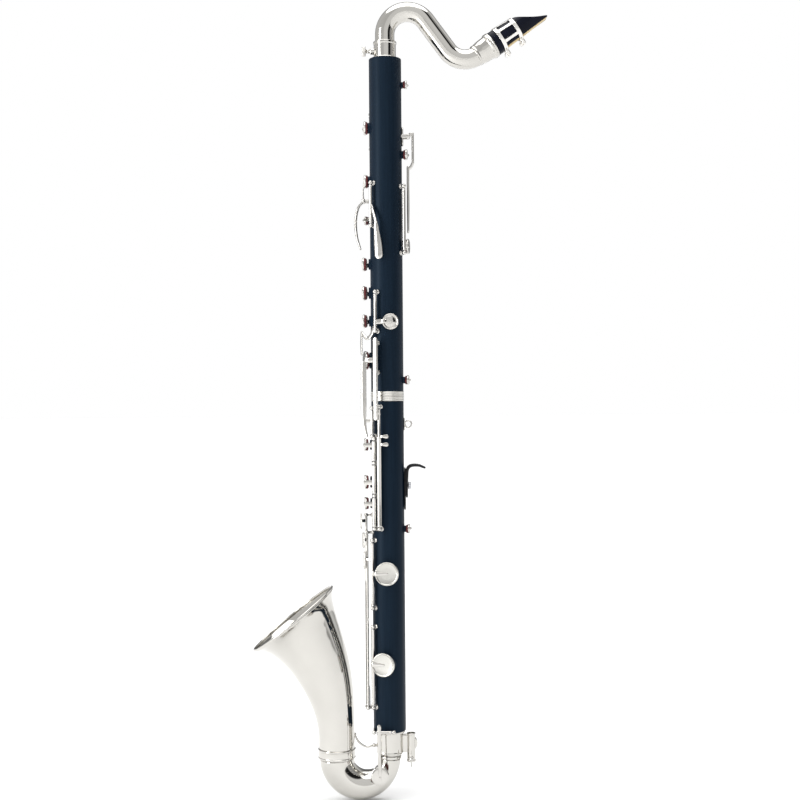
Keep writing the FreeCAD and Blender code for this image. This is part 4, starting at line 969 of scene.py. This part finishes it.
# ---- rockers and fittings ----
def build_register():
    """Thumb-side register lever and the saddle it turns in."""
    lever = [spindle([(-4.5, 1.2), (-4.5, 2.4), (4.5, 2.4), (4.5, 1.2)], 0.3, 3, REGISTER_PIVOT, SIDE, 24),
             strip([(30, 0, 782), (33, 0, 785.4), (35.9, 0, 786)],
                   [4.5, 4.2, 3.4], [4.0, 3.6, 3.2], SIDE, 14),
             strip([(35.9, 0, 786), (35.9, 0, 747)], 3.2, 3.2, SIDE, 12, 2.0),
             strip([(35.9, 0, 748), (33.5, 0, 742.5), (29.6, 0, 739)], [3.4, 4, 4], 4.0, SIDE, 16),
             strip([(29.4, 0, 741), (29.3, 0, 722), (29.4, 0, 702), (29.2, 0, 658)], [4.6, 4.6, 8, 8.4, 7.0],
                   [3.4, 3.4, 3.6, 2.8], FRONT, 40)]
    piece("register_key_lever", "register_key", lever, KEY_PLATE, ["register_key"])
    saddle = [strip([(22.3, 0, 790), (22.3, 0, 774)], 9, 2.4, FRONT, 14, 4)]
    saddle += [strip([(22.4, y, 782), (30.0, y, 782)], 5, 1.8, SIDE, 12, 4) for y in (-5.8, 5.8)]
    saddle += [spindle([(-7.2, 0.01), (-7.2, 1.9), (7.2, 1.9), (7.2, 0.01)], 0.4, 3, REGISTER_PIVOT, SIDE,
                       20)]
    plated("register_saddle_block", "register_saddle", saddle, KEY_PLATE)


def build_throat_a():
    """See-saw on two front posts: padded cup above its pivot, long bowed touch below."""
    phi, z, size = THROAT_A_HOLE
    cup = lathe(cup_profile("throat_a_key", size), UP * z, radial(phi), 64)
    pad = lathe(pad_profile(size), UP * z, radial(phi), 64)
    tube = spindle([(-5, 1.2), (-5, 2.6), (-3.9, 2.6), (-3.6, 2.3), (3.6, 2.3), (3.9, 2.6), (5, 2.6),
                    (5, 1.2)], 0.25, 3, THROAT_A_PIVOT, SIDE, 24)
    upper = strip([THROAT_A_PIVOT, (-30.2, 0, 709), (-29.4, 0, 716), (-29.2, 0, 724)], [5, 5, 4.6, 3.2],
                  [2.4, 2.0, 1.6, 1.2], FRONT)
    lower = strip([THROAT_A_PIVOT, (-36.8, 0, 688), (-40.2, 0, 671), (-38.8, 0, 651), (-34.6, 0, 636)],
                  [5, 7, 9, 8.5, 6.5], [3.0, 3.6, 3.8, 3.4, 2.6], FRONT, 48)
    piece("throat_a_rocker", "throat_a_key", [tube, upper, lower], KEY_PLATE)
    piece("throat_a_cup", "throat_a_key", [cup], KEY_PLATE, ["throat_a_key"])
    piece("throat_a_leather", "throat_a_key", [pad], LEATHER)


def build_fittings():
    """Peg receiver with its wing screw, strap ring, and thumb rest with its sliding hook."""
    peg = hoop([(-42, 4.1), (-42, 5.5), (-41.4, 6.0), (-39.6, 6.0), (-39.0, 5.5), (-7.0, 5.5), (-6.4, 6.0),
                (-4.6, 6.0), (-4, 5.6), (-4, 4.1)], 0.4, 4, FRONT * 28, UP, 64)
    web = strip([(16.6, 0, -17.5), (24.5, 0, -17.5)], 24, 5, SIDE, 10, 6)
    boss = spindle([(4.2, 0.01), (4.2, 3.2), (9.5, 3.2), (9.5, 0.01)], 0.4, 3, PEG_SCREW, -SIDE, 32)
    plated("peg_receiver_tube", "peg_receiver", [peg, web, boss])
    stem = lathe([(4.4, 0.01), (4.4, 1.5), (9.9, 1.5), (9.9, 2.4), (12.8, 2.4), (12.8, 0.01)], PEG_SCREW,
                 -SIDE, 24)
    wing = strip([(28, -16, -43.2), (28, -16, -36.5), (28, -16, -29.8)], [4.5, 8.2, 4.5], 2.0, FRONT, 24)
    piece("peg_screw_wing", "peg_clamp_screw", [stem, wing], KEY_PLATE, ["peg_clamp_screw"])
    ring = [torus(np.array([27.2, 0, STRAP_RING_Z]), SIDE, 4.4, 1.1, 40, 14),
            strip([(22.1, 0, STRAP_RING_Z + 5), (22.1, 0, STRAP_RING_Z - 5)], 7, 1.6, FRONT, 10, 3)]
    plated("strap_ring_loop", "strap_ring", ring, KEY_PLATE)
    base = strip([(22.4, 0, 297), (22.4, 0, 339)], 14, 2.2, FRONT, 20, 5)
    piece("thumb_plate", "body", [base], LACQUER, ["thumb_rest_plate"])
    hook = strip([(24.9, 0, 312), (24.9, 0, 334), (25.5, 0, 342.5), (28.4, 0, 347.2), (34, 0, 348.7),
                  (41, 0, 348.3), (45.5, 0, 346.6)], [12, 13, 13, 13, 13, 12.5, 9],
                 [2.9, 3.2, 4.0, 4.6, 4.6, 4.0, 3.2], FRONT, 60, 3.5, across_to=SIDE)
    piece("thumb_hook", "thumb_rest_hook", [hook], LACQUER, ["thumb_rest_hook"])
    shank = lathe([(23.9, 0.01), (23.9, 2.0), (27, 2.0), (27, 0.01)], UP * THUMB_SCREW_Z, FRONT, 20)
    piece("thumb_screw_head", "thumb_rest_screw",
          [shank, ribbed(26.7, 30.4, 4.6, 0.5, 16, UP * THUMB_SCREW_Z, FRONT)], STEEL, ["thumb_rest_screw"])


for key in KEYS:
    build_key(key)
build_levers()
build_posts()
build_body()
build_bell()
build_bow()
build_bow_key()
build_neck()
build_mouthpiece()
build_register()
build_throat_a()
build_fittings()
dress("middle_tenon_cork", CORK)
dress("upper_hinge_rods", STEEL)
dress("lower_hinge_rods", STEEL)
dress("needle_springs", STEEL)


# ---- stage, light and camera ----
def build_stage():
    """Plain pale floor just under the lowest point."""
    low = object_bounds()[0]
    mesh = bpy.data.meshes.new("pale_floor")
    size = 40.0
    z = low[2] - 0.002
    mesh.from_pydata([(-size, -size, z), (size, -size, z), (size, size, z), (-size, size, z)], [],
                     [(0, 1, 2, 3)])
    floor = bpy.data.objects.new("pale_floor", mesh)
    bpy.context.scene.collection.objects.link(floor)
    m = Nodes("pale_floor")
    m.link(m.ramp(m.noise(0.6, 2), [(0.3, (0.90, 0.90, 0.90)), (0.7, (0.92, 0.92, 0.92))]), "Base Color")
    m.set(Roughness=0.9)
    mesh.materials.append(m.material)


def build_world():
    """White studio: plain white where seen directly, with narrow dark flags that only metal mirrors."""
    world = bpy.data.worlds.new("studio")
    bpy.context.scene.world = world
    world.use_nodes = True
    tree = world.node_tree
    link = tree.links.new
    tree.nodes.clear()
    place = tree.nodes.new("ShaderNodeTexCoord")
    split = tree.nodes.new("ShaderNodeSeparateXYZ")
    link(place.outputs["Generated"], split.inputs["Vector"])
    turn = tree.nodes.new("ShaderNodeMath")
    turn.operation = "ARCTAN2"
    link(split.outputs["X"], turn.inputs[0])
    back = tree.nodes.new("ShaderNodeMath")
    back.operation = "MULTIPLY"
    back.inputs[1].default_value = -1.0
    link(split.outputs["Y"], back.inputs[0])
    link(back.outputs["Value"], turn.inputs[1])
    share = tree.nodes.new("ShaderNodeMapRange")
    share.inputs["From Min"].default_value = -math.pi
    share.inputs["From Max"].default_value = math.pi
    link(turn.outputs["Value"], share.inputs["Value"])
    ramp = tree.nodes.new("ShaderNodeValToRGB")
    # stops by bearing from the camera, 0 straight at it and positive to the right
    stops = [(-180, 0.18), (-160, 0.26), (-138, 0.66), (-100, 0.74), (-60, 0.70), (-14, 0.66), (-8, 0.86),
             (33, 0.92), (39, 0.015), (61, 0.015), (67, 0.52), (84, 0.34), (93, 0.86), (130, 0.80),
             (158, 0.26), (180, 0.18)]
    spread(ramp.color_ramp, [((bearing + 180) / 360, (value, value, value)) for bearing, value in stops])
    link(share.outputs["Result"], ramp.inputs["Fac"])
    seen = tree.nodes.new("ShaderNodeLightPath")
    mix = tree.nodes.new("ShaderNodeMix")
    mix.data_type = "RGBA"
    link(seen.outputs["Is Camera Ray"], mix.inputs["Factor"])
    link(ramp.outputs["Color"], mix.inputs["A"])
    mix.inputs["B"].default_value = (1, 1, 1, 1)
    glow = tree.nodes.new("ShaderNodeBackground")
    glow.inputs["Strength"].default_value = 1.0
    link(mix.outputs["Result"], glow.inputs["Color"])
    out = tree.nodes.new("ShaderNodeOutputWorld")
    link(glow.outputs["Background"], out.inputs["Surface"])


def area_light(name, place, target, size, power):
    """Rectangular soft light that looks at its target."""
    data = bpy.data.lights.new(name, "AREA")
    data.shape = "RECTANGLE"
    data.size, data.size_y = size
    data.energy = power
    light = bpy.data.objects.new(name, data)
    bpy.context.scene.collection.objects.link(light)
    light.location = place
    light.rotation_euler = (Vector(target) - Vector(place)).to_track_quat("-Z", "Y").to_euler()


def overhead_light():
    """Wide soft light straight above, even over the whole floor."""
    data = bpy.data.lights.new("overhead_soft", "SUN")
    data.energy = 2.35
    data.angle = math.radians(70)
    bpy.context.scene.collection.objects.link(bpy.data.objects.new("overhead_soft", data))


CAMERA_DISTANCE = 1.78
CAMERA_LENS = 60.7
CAMERA_ROLL = -0.43
AIM = Vector(((16.6 - 28.0) * MM, 0.0, (434.8 + 42.0) * MM))


def build_camera():
    """Long lens square to the instrument's side."""
    data = bpy.data.cameras.new("studio_camera")
    data.lens = CAMERA_LENS
    data.clip_end = 100.0
    camera = bpy.data.objects.new("studio_camera", data)
    bpy.context.scene.collection.objects.link(camera)
    place = AIM + Vector((0, -CAMERA_DISTANCE, 0))
    roll = Matrix.Rotation(math.radians(CAMERA_ROLL), 4, "Z")
    camera.matrix_world = Matrix.Translation(place) @ Matrix.Rotation(math.radians(90), 4, "X") @ roll
    bpy.context.scene.camera = camera


build_stage()
build_world()
area_light("left_softbox", (-1.85, -1.07, 0.7), (0, 0, 0.5), (0.5, 2.3), 40)
overhead_light()
build_camera()
bpy.context.scene.view_settings.view_transform = "Standard"
